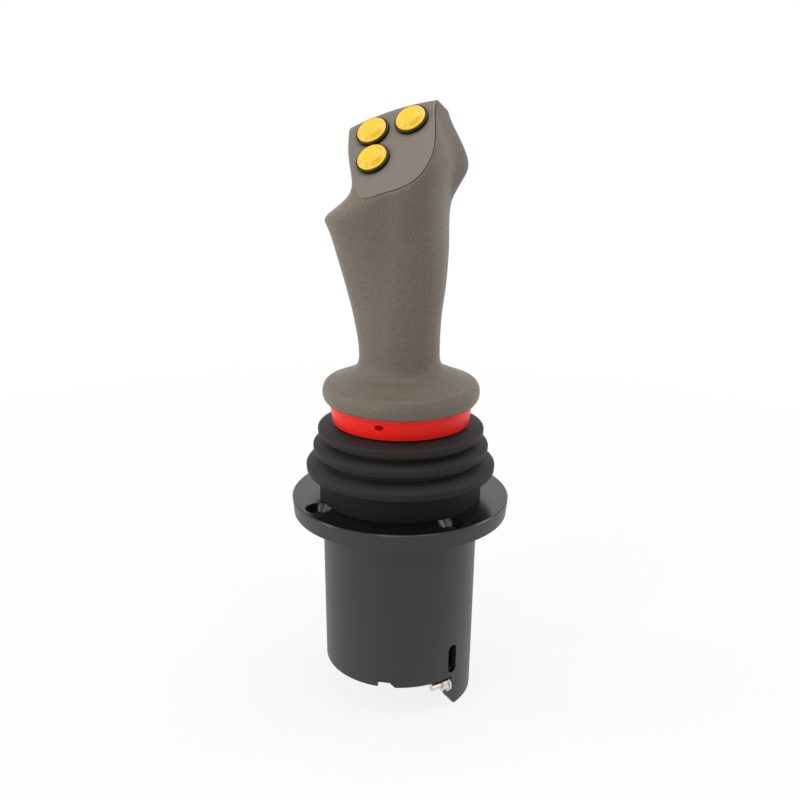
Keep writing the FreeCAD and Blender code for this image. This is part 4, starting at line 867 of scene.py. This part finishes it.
@dataclass(frozen=True)
class GripForm:
    """The hand grip's outline: stations up its length, a palm ledge and a flare for the fingers.

    Lengths are in millimetres and angles in degrees; 0 degrees is to the right, 90 to the back.
    """

    # Height, centre, and reach to the left, right, front and back.
    stations: tuple[tuple[float, ...], ...] = (
        (71.6, -0.5, 28.0, 28.0, 29.0, 29.0), (73.6, -0.8, 23.4, 23.4, 24.4, 24.4),
        (77.2, -1.0, 20.5, 20.5, 21.7, 21.7), (84.0, -1.0, 19.6, 19.8, 21.0, 21.2),
        (100.0, -0.7, 19.8, 20.0, 21.2, 22.0), (116.0, 0.0, 20.8, 21.0, 22.0, 23.0),
        (132.0, 0.7, 21.8, 20.9, 23.4, 24.0), (146.0, 2.0, 22.6, 19.2, 25.6, 25.6),
        (158.0, 3.0, 23.8, 19.2, 27.8, 27.6), (168.0, 2.8, 23.2, 21.2, 28.4, 29.0),
        (186.0, -4.6, 22.5, 22.3, 28.5, 29.5), (192.0, -6.5, 22.2, 22.3, 28.5, 29.5),
        (198.0, -8.3, 21.8, 22.0, 28.5, 29.5), (216.0, -13.8, 21.8, 22.0, 28.5, 29.5))
    # The heights between which the head leans over and its section turns from round to squarish,
    # and the powers of the section: at the neck, then at each corner of the head.
    lean: Place = (128.0, 170.0)
    squaring: Place = (100.0, 160.0)
    neck_power: float = 2.1
    powers: tuple[float, ...] = (3.0, 3.0, 3.1, 2.35)
    # The palm ledge: where it starts, its tip and its end, then its reach, angle and spread.
    ledge_rise: Triple = (82.0, 159.5, 174.0)
    ledge: Triple = (17.8, 190.0, 75.0)
    ledge_powers: Place = (1.25, 1.75)
    ledge_softness: Place = (5.2, 10.0)
    # The flare: its heights, then its reach, angle and spread.
    flare_rise: Place = (148.0, 198.0)
    flare: Triple = (4.6, 36.0, 36.0)
    # The wing: its foot, its widest height and its top, then its reach and four angles.
    wing_rise: Triple = (153.0, 162.5, 188.0)
    wing: tuple[float, ...] = (5.9, 20.0, 34.0, 47.0, 80.0)

    @property
    def foot(self) -> float:
        """The lowest station's height."""
        return self.stations[0][0]

    @staticmethod
    def ease(value: float) -> float:
        """Zero below 0, one above 1, and an even rise between."""
        value = min(max(value, 0.0), 1.0)
        return value * value * (3 - 2 * value)

    def station(self, height: float) -> list[float]:
        """The centre and the four reaches at a height, by a smooth curve through the stations.

        Args:
            height: The height in millimetres.

        Returns:
            The numbers of one station, without its height.
        """
        rows = self.stations
        index = 0
        while index < len(rows) - 2 and rows[index + 1][0] <= height:
            index += 1
        low, high = rows[index], rows[index + 1]
        before, after = rows[max(index - 1, 0)], rows[min(index + 2, len(rows) - 1)]
        step = high[0] - low[0]
        t = (height - low[0]) / step
        values = []
        for column in range(1, len(low)):
            first = (high[column] - before[column]) / (high[0] - before[0]) * step
            last = (after[column] - low[column]) / (after[0] - low[0]) * step
            values.append((2 * t ** 3 - 3 * t ** 2 + 1) * low[column]
                          + (t ** 3 - 2 * t ** 2 + t) * first
                          + (3 * t ** 2 - 2 * t ** 3) * high[column] + (t ** 3 - t ** 2) * last)
        return values

    def bump(self, angle: float, centre: float, spread: float) -> float:
        """One at the centre angle, easing to zero at the spread."""
        return self.ease(1 - abs((angle - centre + 180) % 360 - 180) / spread)

    def shelf(self, height: float) -> float:
        """How far the palm ledge would stand out at a height with a sharp tip."""
        low, tip, high = self.ledge_rise
        below, above = self.ledge_powers
        if height <= tip:
            return self.ledge[0] * max((height - low) / (tip - low), 0.0) ** below
        return self.ledge[0] * max(1 - (height - tip) / (high - tip), 0.0) ** above

    def swell(self, height: float, angle: float) -> float:
        """How far the head stands out for the fingers: a broad flare and a creased wing on it.

        Args:
            height: The height in millimetres.
            angle: The angle round the grip in degrees.

        Returns:
            The distance in millimetres.
        """
        low, high = self.flare_rise
        flare = self.flare[0] * min(max((height - low) / (high - low), 0.0), 1.0)
        flare *= self.bump(angle, *self.flare[1:])
        reach, start, crest, end, foot = self.wing
        turn = (angle + 180) % 360 - 180
        if not start < turn < foot:
            return flare
        if turn < crest:
            share = (turn - start) / (crest - start)
        else:
            share = 1.0 if turn < end else self.ease((foot - turn) / (foot - end))
        low, top, high = self.wing_rise
        steps = [height + step for step in (-2, -1, 0, 1, 2)]
        rise = sum(max(min((step - low) / (top - low), (high - step) / (high - top)), 0.0)
                   for step in steps) / len(steps)
        return flare + reach * share * rise

    def soft_shelf(self, height: float, angle: float) -> float:
        """The palm ledge at a height and angle: small radius at its tip, wide towards the sides.

        Args:
            height: The height in millimetres.
            angle: The angle round the grip in degrees.

        Returns:
            How far the ledge stands out there in millimetres.
        """
        share = self.bump(angle, *self.ledge[1:])
        if share <= 0:
            return 0.0
        near, far = self.ledge_softness
        soft = near + (far - near) * (1 - share)
        weights = ((-1.0, 1), (-0.67, 2), (-0.33, 3), (0.0, 4), (0.33, 3), (0.67, 2), (1.0, 1))
        total = sum(weight for _, weight in weights)
        return share * sum(self.shelf(height + soft * step) * weight
                           for step, weight in weights) / total

    def point(self, height: float, angle: float, inset: float = 0.0) -> Vector:
        """A point on the outline.

        Args:
            height: The height before the head leans, in millimetres.
            angle: The angle round the grip, in degrees.
            inset: How far the point is moved inwards.

        Returns:
            The point in millimetres.
        """
        centre, left, right, front, back = self.station(height)
        cosine, sine = cos(radians(angle)), sin(radians(angle))
        across = right if cosine >= 0 else left
        along = back if sine >= 0 else front
        corner = self.powers[(0 if cosine >= 0 else 1) if sine >= 0 else (3 if cosine >= 0 else 2)]
        round_end, square = self.squaring
        share = self.ease((height - round_end) / (square - round_end))
        power = self.neck_power + (corner - self.neck_power) * share
        radius = (abs(cosine / across) ** power + abs(sine / along) ** power) ** (-1 / power)
        radius += self.soft_shelf(height, angle)
        radius += self.swell(height, angle) - inset
        start, end = self.lean
        turn = radians(LEAN * self.ease((height - start) / (end - start)))
        return Vector((centre + radius * cosine * cos(turn), radius * sine,
                       height + radius * cosine * sin(turn)))


@dataclass
class Grip(Assembly):
    """The clamp ring, the hand rest, the two shells and the face plate with its seam.

    Lengths are in millimetres and angles in degrees.
    """

    form: GripForm = field(default_factory=GripForm)
    columns: int = 160
    # The hand rest: its two heights, its edge's radius and bulge, the width of its underside and
    # the powers that shape its edge and the cove above it.
    rest: Place = (58.0, 68.4)
    rest_edge: Place = (35.8, 3.6)
    rest_under: float = 6.0
    rest_powers: Place = (0.9, 1.15)
    rest_steps: int = 16
    cove_steps: int = 6
    # The height up to which the neck's rings lie close, then the close and the wide steps.
    neck_steps: Triple = (82.0, 0.5, 1.5)
    # A corner beyond the grip, which the cutters reach to.
    beyond: Triple = (90.0, 90.0, 260.0)
    # The plane between the shells and the gap that is left there.
    split: float = 12.0
    gap: float = 0.12
    # The head's top: its edge above the face's point, its slope, and its arch's middle and rise.
    top_edge: float = 26.1
    top_slope: float = 28.0
    top_arch: Place = (1.6, 0.005)
    # The trimmed corner's slope and level.
    corner: Place = (75.0, 120.0)
    # The head's columns: their first height, their steps on wall, flats and edge, the edge's
    # radius and the creases' softness.
    crown_low: float = 146.0
    crown_steps: tuple[int, int, int] = (66, 46, 6)
    climb: float = 0.5
    edge: float = 1.5
    crease: float = 2.2
    axis: Vector = field(default_factory=lambda: leaned(0.0) @ UP)
    pole: Vector = field(default_factory=lambda: Vector((-6.0, 0.0, 188.0)))
    # The shell screws' heights and their counterbores' radius, start and end.
    screws: Triple = (90.0, 124.0, 150.0)
    screw_room: Triple = (2.75, 14.5, 40.0)
    # The plate: its margin on the face, how far it runs past the head's edges, its thickness, the
    # barrels' radius, the seam's width, the angles between which it starts and its fade.
    margin: float = 1.0
    overhang: float = 3.5
    thickness: float = 2.5
    slab_top: float = 6.0
    barrel: float = 7.24
    seam: float = 0.42
    seam_start: Place = (-146.0, -130.0)
    seam_fade: float = 26.0
    seam_end: float = 80.0
    seam_low: float = 120.0
    seam_step: float = 2.0
    # The clamp ring's profile and its hole: radius, height, angle, distance and length.
    ring: tuple[Triple, ...] = (
        (8.02, 44.7, 0.0), (14.0, 44.7, 0.3), (14.0, 54.0, 0.0), (27.5, 54.0, 0.0),
        (27.5, 43.2, 0.3), (30.0, 43.2, 0.3), (30.0, 47.7, 0.0), (34.5, 47.7, 0.5),
        (35.6, 56.2, 0.15), (36.1, 56.5, 0.15), (36.4, 58.0, 0.2), (8.02, 58.0, 0.0))
    ring_hole: tuple[float, ...] = (1.8, 54.0, -92.8, 34.0, 16.0)
    ring_hole_shape: Place = (1.3, 0.75)

    def slopes(self) -> tuple[Slope, Slope, Slope]:
        """The head's top, its trimmed corner and the face.

        Returns:
            The three flats, in that order.
        """
        face = leaned(FACE_SLOPE)
        top = leaned(-self.top_slope) @ UP
        edge = Vector(FACE) + face @ Vector((0, self.top_edge, 0))
        tilt, level = self.corner
        corner = Matrix.Rotation(radians(tilt - LEAN), 3, "Y") @ UP
        front = face @ UP
        across = face @ Vector((1, 0, 0))
        middle, arch = self.top_arch
        return (Slope(top, top.dot(edge), across, across.dot(Vector(FACE)) + middle, arch),
                Slope(corner, level), Slope(front, front.dot(Vector(FACE))))

    def drop(self, point: Vector) -> float:
        """How far a point goes down along the head's axis to the flats, softly over their edges.

        Args:
            point: The point in millimetres.

        Returns:
            The way down, below zero for a point under the flats.
        """
        depth = -inf
        for slope in self.slopes():
            other = slope.drop(point, self.axis)
            near = max(self.crease - abs(depth - other), 0.0) / self.crease
            depth = max(depth, other) + near * near * self.crease / 4
        return depth

    def crown(self, angle: float) -> list[Vector]:
        """One column of the head: up the wall, round the edge and over the flats to the pole.

        Args:
            angle: The column's angle round the grip, in degrees.

        Returns:
            The same number of points for every angle.
        """
        def below(height: float) -> bool:
            """Whether the wall at a height is still under the flats."""
            return self.drop(self.form.point(height, angle)) < 0

        low, top = self.crown_low, self.form.stations[-1][0]
        while low < top - 1 and below(low + self.climb):
            low += self.climb
        low = halved(below, low, low + self.climb, 12)
        corner = self.form.point(low, angle)
        wall, flat, turn = self.crown_steps
        end = low - self.edge
        points = [self.form.point(self.crown_low + (end - self.crown_low) * step / wall, angle)
                  for step in range(wall)]
        first = self.form.point(end, angle)
        start = self.edge / (corner - self.pole).length
        last = self.over(corner, start)
        for step in range(turn + 1):
            share = step / turn
            points.append(first * (1 - share) ** 2 + corner * (2 * share * (1 - share))
                          + last * share ** 2)
        return points + [self.over(corner, start + (1 - start) * step / flat)
                         for step in range(1, flat + 1)]

    def over(self, corner: Vector, share: float) -> Vector:
        """A point on the flats, a share of the way from the head's edge to the pole."""
        place = corner.lerp(self.pole, share)
        return place - self.axis * self.drop(place)

    def rings(self) -> list[list[Vector]]:
        """Every ring of the skin, from the hand rest's underside to the pole on its head.

        Returns:
            Rings of points in millimetres, with one point for each column.
        """
        angles = [360 * index / self.columns for index in range(self.columns)]
        edge, bulge = self.rest_edge
        low, high = self.rest
        edge_power, cove_power = self.rest_powers
        round_line = [(edge - self.rest_under, low)]
        for step in range(self.rest_steps + 1):
            turn = pi * step / self.rest_steps
            round_line.append((edge + bulge * sin(turn) ** edge_power,
                               (low + high) / 2 - (high - low) / 2 * cos(turn)))
        ways = [(cos(radians(a)), sin(radians(a))) for a in angles]
        rings = [[Vector((radius * x, radius * y, z)) for x, y in ways] for radius, z in round_line]
        rim, foot = rings[-1], [self.form.point(self.form.foot, a) for a in angles]
        for step in range(1, self.cove_steps):
            share = step / self.cove_steps
            lift = share ** cove_power
            rings.append([Vector((start.x + (end.x - start.x) * share,
                                  start.y + (end.y - start.y) * share,
                                  start.z + (end.z - start.z) * lift))
                          for start, end in zip(rim, foot)])
        height = self.form.foot
        bend, close, wide = self.neck_steps
        while height < self.crown_low:
            rings.append([self.form.point(height, a) for a in angles])
            height += close if height < bend else wide
        return rings + [list(row) for row in zip(*(self.crown(a) for a in angles))]

    def blank(self) -> Piece:
        """The whole grip as one closed skin: a grid whose rows are laid along the rings.

        Returns:
            The closed skin.
        """
        rings = self.rings()
        rows = len(rings) - 1
        Bench.clear()
        bpy.ops.mesh.primitive_grid_add(x_subdivisions=self.columns, y_subdivisions=rows, size=1.0)
        piece = bpy.context.object
        for vertex in piece.data.vertices:
            column = round((vertex.co.x + 0.5) * self.columns) % self.columns
            row = round((vertex.co.y + 0.5) * rows)
            vertex.co = rings[row][column] * MM
        with Bench.editing(piece):
            bpy.ops.mesh.remove_doubles(threshold=WELD)
            bpy.ops.mesh.select_all(action="DESELECT")
            bpy.ops.mesh.select_non_manifold()
            bpy.ops.mesh.fill_holes(sides=0)
            Bench.face_outwards()
        return piece

    def outline(self, grow: float) -> list[Place]:
        """The plate's outline across and up the face.

        Args:
            grow: How far the outline is moved outwards along the seam, in millimetres.

        Returns:
            Its points. They run past the head's left and top edges, where there is no seam.
        """
        turn = leaned(FACE_SLOPE)
        facing = turn @ UP
        level = facing.dot(Vector(FACE))
        start, end = self.seam_start
        low, high = self.seam_low, self.form.stations[-1][0]
        points: list[Place] = []
        angle = start
        while angle < self.seam_end:
            share = GripForm.ease((angle - start) / (end - start))
            shown = GripForm.ease((angle - end) / self.seam_fade)
            margin = -self.overhang + (self.overhang + self.margin - grow * shown) * share
            height = halved(lambda at: facing.dot(self.form.point(at, angle, margin)) <= level,
                            low, high, 26)
            place = turn.inverted() @ (self.form.point(height, angle, margin) - Vector(FACE))
            points.append((place.x, place.y))
            if place.y > self.top_edge + self.overhang:
                break
            angle += self.seam_step
        side = points[0][0] - self.overhang
        return points + [(side, points[-1][1]), (side, points[0][1])]

    def prism(self, grow: float, depth: float) -> Piece:
        """The plate's outline as a thick slab through the face, used as a cutter.

        Args:
            grow: How far the slab goes past the plate all round.
            depth: How deep it goes under the face.

        Returns:
            The slab.
        """
        outline = self.outline(grow)
        Bench.clear()
        bpy.ops.mesh.primitive_circle_add(vertices=len(outline), fill_type="NGON")
        piece = bpy.context.object
        for vertex, (across, up) in zip(piece.data.vertices, outline):
            vertex.co = (across * MM, up * MM, -depth * MM)
        way = (0, 0, (depth + self.slab_top) * MM)
        with Bench.editing(piece):
            bpy.ops.mesh.extrude_region_move(TRANSFORM_OT_translate={"value": way})
            Bench.face_outwards()
        place = Matrix.Translation(Vector(FACE) * MM) @ leaned(FACE_SLOPE).to_4x4()
        return Bench.put(piece, place)

    def holed_prism(self) -> Piece:
        """The plate's slab with the three barrels' holes."""
        piece = self.prism(0.0, self.thickness)
        for place in Buttons(self.finishes).frames():
            Bench.cut(piece, Bench.drum(self.barrel, 20, 64, place))
        return piece

    def counterbore(self, height: float) -> Piece:
        """A screw's room in the finger shell, as a cutter."""
        radius, start, end = self.screw_room
        place = Matrix.Translation((0, (start + end) / 2 * MM, height * MM))
        return Bench.drum(radius, end - start, 40, place @ Matrix.Rotation(pi / 2, 4, "X"))

    def shells(self) -> None:
        """Cuts the skin into the palm shell with the hand rest, the finger shell and the plate."""
        rear = self.blank()
        front, plate = Bench.copy(rear, "finger_shell"), Bench.copy(rear, "button_plate")
        rear.name = rear.data.name = "palm_shell"
        foot, back, left = self.form.foot, self.split + self.gap, -self.beyond[0]
        Bench.cut(rear, Bench.block((left, self.split, foot), self.beyond))
        Bench.cut(rear, self.prism(self.seam, self.thickness + 0.02))
        Bench.cut(front, Bench.block((left, back, foot + self.gap), self.beyond), "INTERSECT")
        for height in self.screws:
            Bench.cut(front, self.counterbore(height))
        Bench.cut(plate, self.holed_prism(), "INTERSECT")
        made = ((rear, "rear_shell", None), (front, "front_shell", None),
                (plate, "face_plate", "face_plastic"))
        for piece, node, finish in made:
            Bench.smooth(piece, 42.0)
            self.show(piece, "grip_plastic", node, "lever", finish)

    def clamp(self) -> None:
        """The red ring with its upper lip and the hole for the grub screw."""
        ring = Bench.lathe("red_ring", rounded(self.ring), 160, closed=True)
        radius, height, angle, away, depth = self.ring_hole
        turn = radians(angle)
        way = Vector((cos(turn), sin(turn), 0))
        place = Matrix.Translation((way * away + Vector((0, 0, height))) * MM)
        place = place @ way.to_track_quat("Z", "Y").to_matrix().to_4x4()
        place = place @ Matrix.Diagonal((*self.ring_hole_shape, 1.0, 1.0))
        Bench.cut(ring, Bench.drum(radius, depth, 32, place))
        Bench.smooth(ring)
        self.show(ring, "clamp_red", "clamp_ring", "lever")

    def build(self) -> None:
        """Builds the ring, the shells and the plate, and dresses the screws and the core."""
        self.clamp()
        self.shells()
        self.paint("screw_steel", "shell_screws")
        self.paint("connector_plastic", "grip_core", "button_nuts")


@dataclass
class Buttons(Assembly):
    """The three push buttons on the face, each a bezel, a cap, a spring and a switch."""

    # Each button's place across and up the face, in millimetres.
    places: tuple[tuple[str, Place], ...] = (
        ("upper_left", (-9.4, 14.8)), ("upper_right", (10.0, 14.8)), ("lower_left", (-9.4, -2.5)))
    bezel: tuple[Triple, ...] = (
        (5.75, -9.0, 0.0), (7.2, -9.0, 0.0), (7.2, 0.0, 0.0), (8.3, 0.0, 0.0), (8.3, 1.7, 0.45),
        (7.45, 1.7, 0.15), (7.45, 0.1, 0.0), (5.75, 0.1, 0.0))
    cap: tuple[Triple, ...] = (
        (0.0, -11.5, 0.0), (1.8, -11.5, 0.0), (1.8, -4.5, 0.0), (5.6, -4.5, 0.0), (5.6, 1.65, 0.0),
        (7.25, 1.65, 0.0), (7.25, 2.3, 0.25), (6.15, 2.3, 0.2), (4.4, 3.7, 1.0), (0.0, 3.9, 0.0))

    def frames(self) -> list[Matrix]:
        """The matrices that move the buttons from the origin to their places on the face."""
        face = Matrix.Translation([value * MM for value in FACE]) @ leaned(FACE_SLOPE).to_4x4()
        return [face @ Matrix.Translation((across * MM, up * MM, 0))
                for _, (across, up) in self.places]

    def build(self) -> None:
        """Builds each button's bezel, cap and spring, and dresses its switch."""
        for (name, _), place in zip(self.places, self.frames()):
            bezel = Bench.lathe("bezel_ring_" + name, rounded(self.bezel), 96, closed=True)
            cap = Bench.lathe("push_cap_" + name, rounded(self.cap), 96)
            for piece in (bezel, cap):
                Bench.put(piece, place)
                Bench.smooth(piece)
            self.show(bezel, "bezel_plastic", "bezel_" + name, "lever")
            self.show(cap, "button_yellow", "cap_" + name, name + "_button")
            self.spring(name, place)
            self.paint("connector_plastic", "switch_" + name)

    def spring(self, name: str, place: Matrix) -> None:
        """A button's spring, which sits between the switch and the cap.

        Args:
            name: The button's name.
            place: Where the button sits on the face; not used.
        """
        piece = Bench.copy(frame["nodes"]["spring_" + name], "coil_" + name)
        Bench.merge(piece)
        Bench.smooth(piece, 60.0)
        self.show(piece, "spring_steel", "spring_" + name, None)
        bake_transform(piece)


@dataclass(frozen=True)
class Lamp:
    """A soft rectangular lamp: where it stands and looks, its size in metres and its power."""

    name: str
    place: Triple
    size: Place
    power: float
    aim: Triple = (0, 0, 0.12)

    def light(self) -> None:
        """Sets the lamp up."""
        data = bpy.data.lights.new(self.name, "AREA")
        data.shape = "RECTANGLE"
        data.size, data.size_y = self.size
        data.energy = self.power
        lamp = Bench.link(self.name, data)
        lamp.location = self.place
        way = Vector(self.aim) - Vector(self.place)
        lamp.rotation_euler = way.to_track_quat("-Z", "Y").to_euler()


@dataclass
class Studio:
    """The pale floor, the lamps, the world and the camera."""

    # The lens and the eye in millimetres, then the camera's angles in degrees.
    lens: float = 44.0
    eye: Triple = (115.705, -456.013, 201.632)
    tilt: float = 72.988
    azimuth: float = 14.3
    turn: float = -0.52
    ambient: float = 0.36
    # The floor's side, its depth under the object, and its glow by the distance, all in metres.
    ground: float = 6.0
    ground_drop: float = 0.002
    glow: tuple[Place, Place] = ((0.12, 0.84), (0.75, 1.0))
    lamps: tuple[Lamp, ...] = (
        Lamp("left_strip", (-0.55, -0.9, 0.45), (0.07, 1.1), 3.0),
        Lamp("right_strip", (0.98, -0.36, 0.5), (0.07, 1.1), 0.55),
        Lamp("left_edge", (-1.0, -0.3, 0.35), (0.3, 1.1), 3.4),
        Lamp("right_edge", (0.9, 0.5, 0.35), (0.3, 1.1), 2.4),
        Lamp("top_box", (0.05, -0.1, 1.2), (0.9, 0.9), 6.5, (0, 0, 0.1)))

    def floor(self) -> None:
        """A wide floor under the object that shows white and keeps its shadow."""
        low = CAD_BOX[0].z - self.ground_drop
        Bench.clear()
        bpy.ops.mesh.primitive_plane_add(size=self.ground, location=(0, 0, low))
        piece = bpy.context.object
        piece.name = "floor"
        graph = Graph("floor_white")
        graph.set("Base Color", tone(250, 250, 250))
        graph.set("Roughness", 0.9)
        path = graph.node("ShaderNodeLightPath")
        seen = path.math("MAXIMUM", path, Value(graph, path.owner.outputs["Is Glossy Ray"]))
        glow = graph.node("ShaderNodeEmission", None, {"Color": (1.0, 1.0, 1.0), "Strength": 1.0})
        length = {"operation": "LENGTH"}
        away = graph.node("ShaderNodeVectorMath", length, {0: graph.place()}, "Value")
        white = graph.ramp(away, *self.glow)
        blend = graph.node("ShaderNodeMixShader", None, {0: seen * white})
        graph.tree.links.new(graph.shader.outputs[0], blend.owner.inputs[1])
        graph.tree.links.new(glow.socket, blend.owner.inputs[2])
        graph.tree.links.new(blend.socket, graph.output.inputs["Surface"])
        piece.data.materials.append(graph.material)

    def world(self) -> None:
        """White where the camera and reflections look, a soft grey where light comes from."""
        world = bpy.data.worlds.new("studio")
        bpy.context.scene.world = world
        world.use_nodes = True
        nodes, links = world.node_tree.nodes, world.node_tree.links
        nodes.clear()
        rays = nodes.new("ShaderNodeLightPath").outputs
        seen = rays["Is Camera Ray"]
        for name in ("Is Glossy Ray", "Is Transmission Ray"):
            either = nodes.new("ShaderNodeMath")
            either.operation = "MAXIMUM"
            links.new(seen, either.inputs[0])
            links.new(rays[name], either.inputs[1])
            seen = either.outputs[0]
        mix = nodes.new("ShaderNodeMixShader")
        links.new(seen, mix.inputs[0])
        for index, strength in enumerate((self.ambient, 1.0), 1):
            shade = nodes.new("ShaderNodeBackground")
            shade.inputs["Color"].default_value = (1, 1, 1, 1)
            shade.inputs["Strength"].default_value = strength
            links.new(shade.outputs[0], mix.inputs[index])
        links.new(mix.outputs[0], nodes.new("ShaderNodeOutputWorld").inputs["Surface"])

    def camera(self) -> None:
        """The camera at the photograph's angle."""
        data = bpy.data.cameras.new("camera")
        data.lens = self.lens
        data.sensor_width = 36.0
        camera = Bench.link("camera", data)
        camera.location = [value * MM for value in self.eye]
        look = Matrix.Rotation(radians(self.azimuth), 3, "Z")
        for angle, axis in ((self.tilt, "X"), (-self.turn, "Z")):
            look = look @ Matrix.Rotation(radians(angle), 3, axis)
        camera.rotation_euler = look.to_euler()
        bpy.context.scene.camera = camera

    def build(self) -> None:
        """Sets the whole studio up."""
        self.camera()
        self.floor()
        self.world()
        for lamp in self.lamps:
            lamp.light()
        bpy.context.scene.view_settings.view_transform = "Standard"


def main() -> None:
    """Builds the joystick and its studio."""
    logging.basicConfig(level=logging.INFO, format="%(name)s: %(message)s")
    finishes = Finishes()
    for assembly in (Base, Gimbal, Bellows, Grip, Buttons):
        assembly(finishes).build()
        LOG.info("%s is built", assembly.__name__)
    Studio().build()


if __name__ == "__main__":
    main()
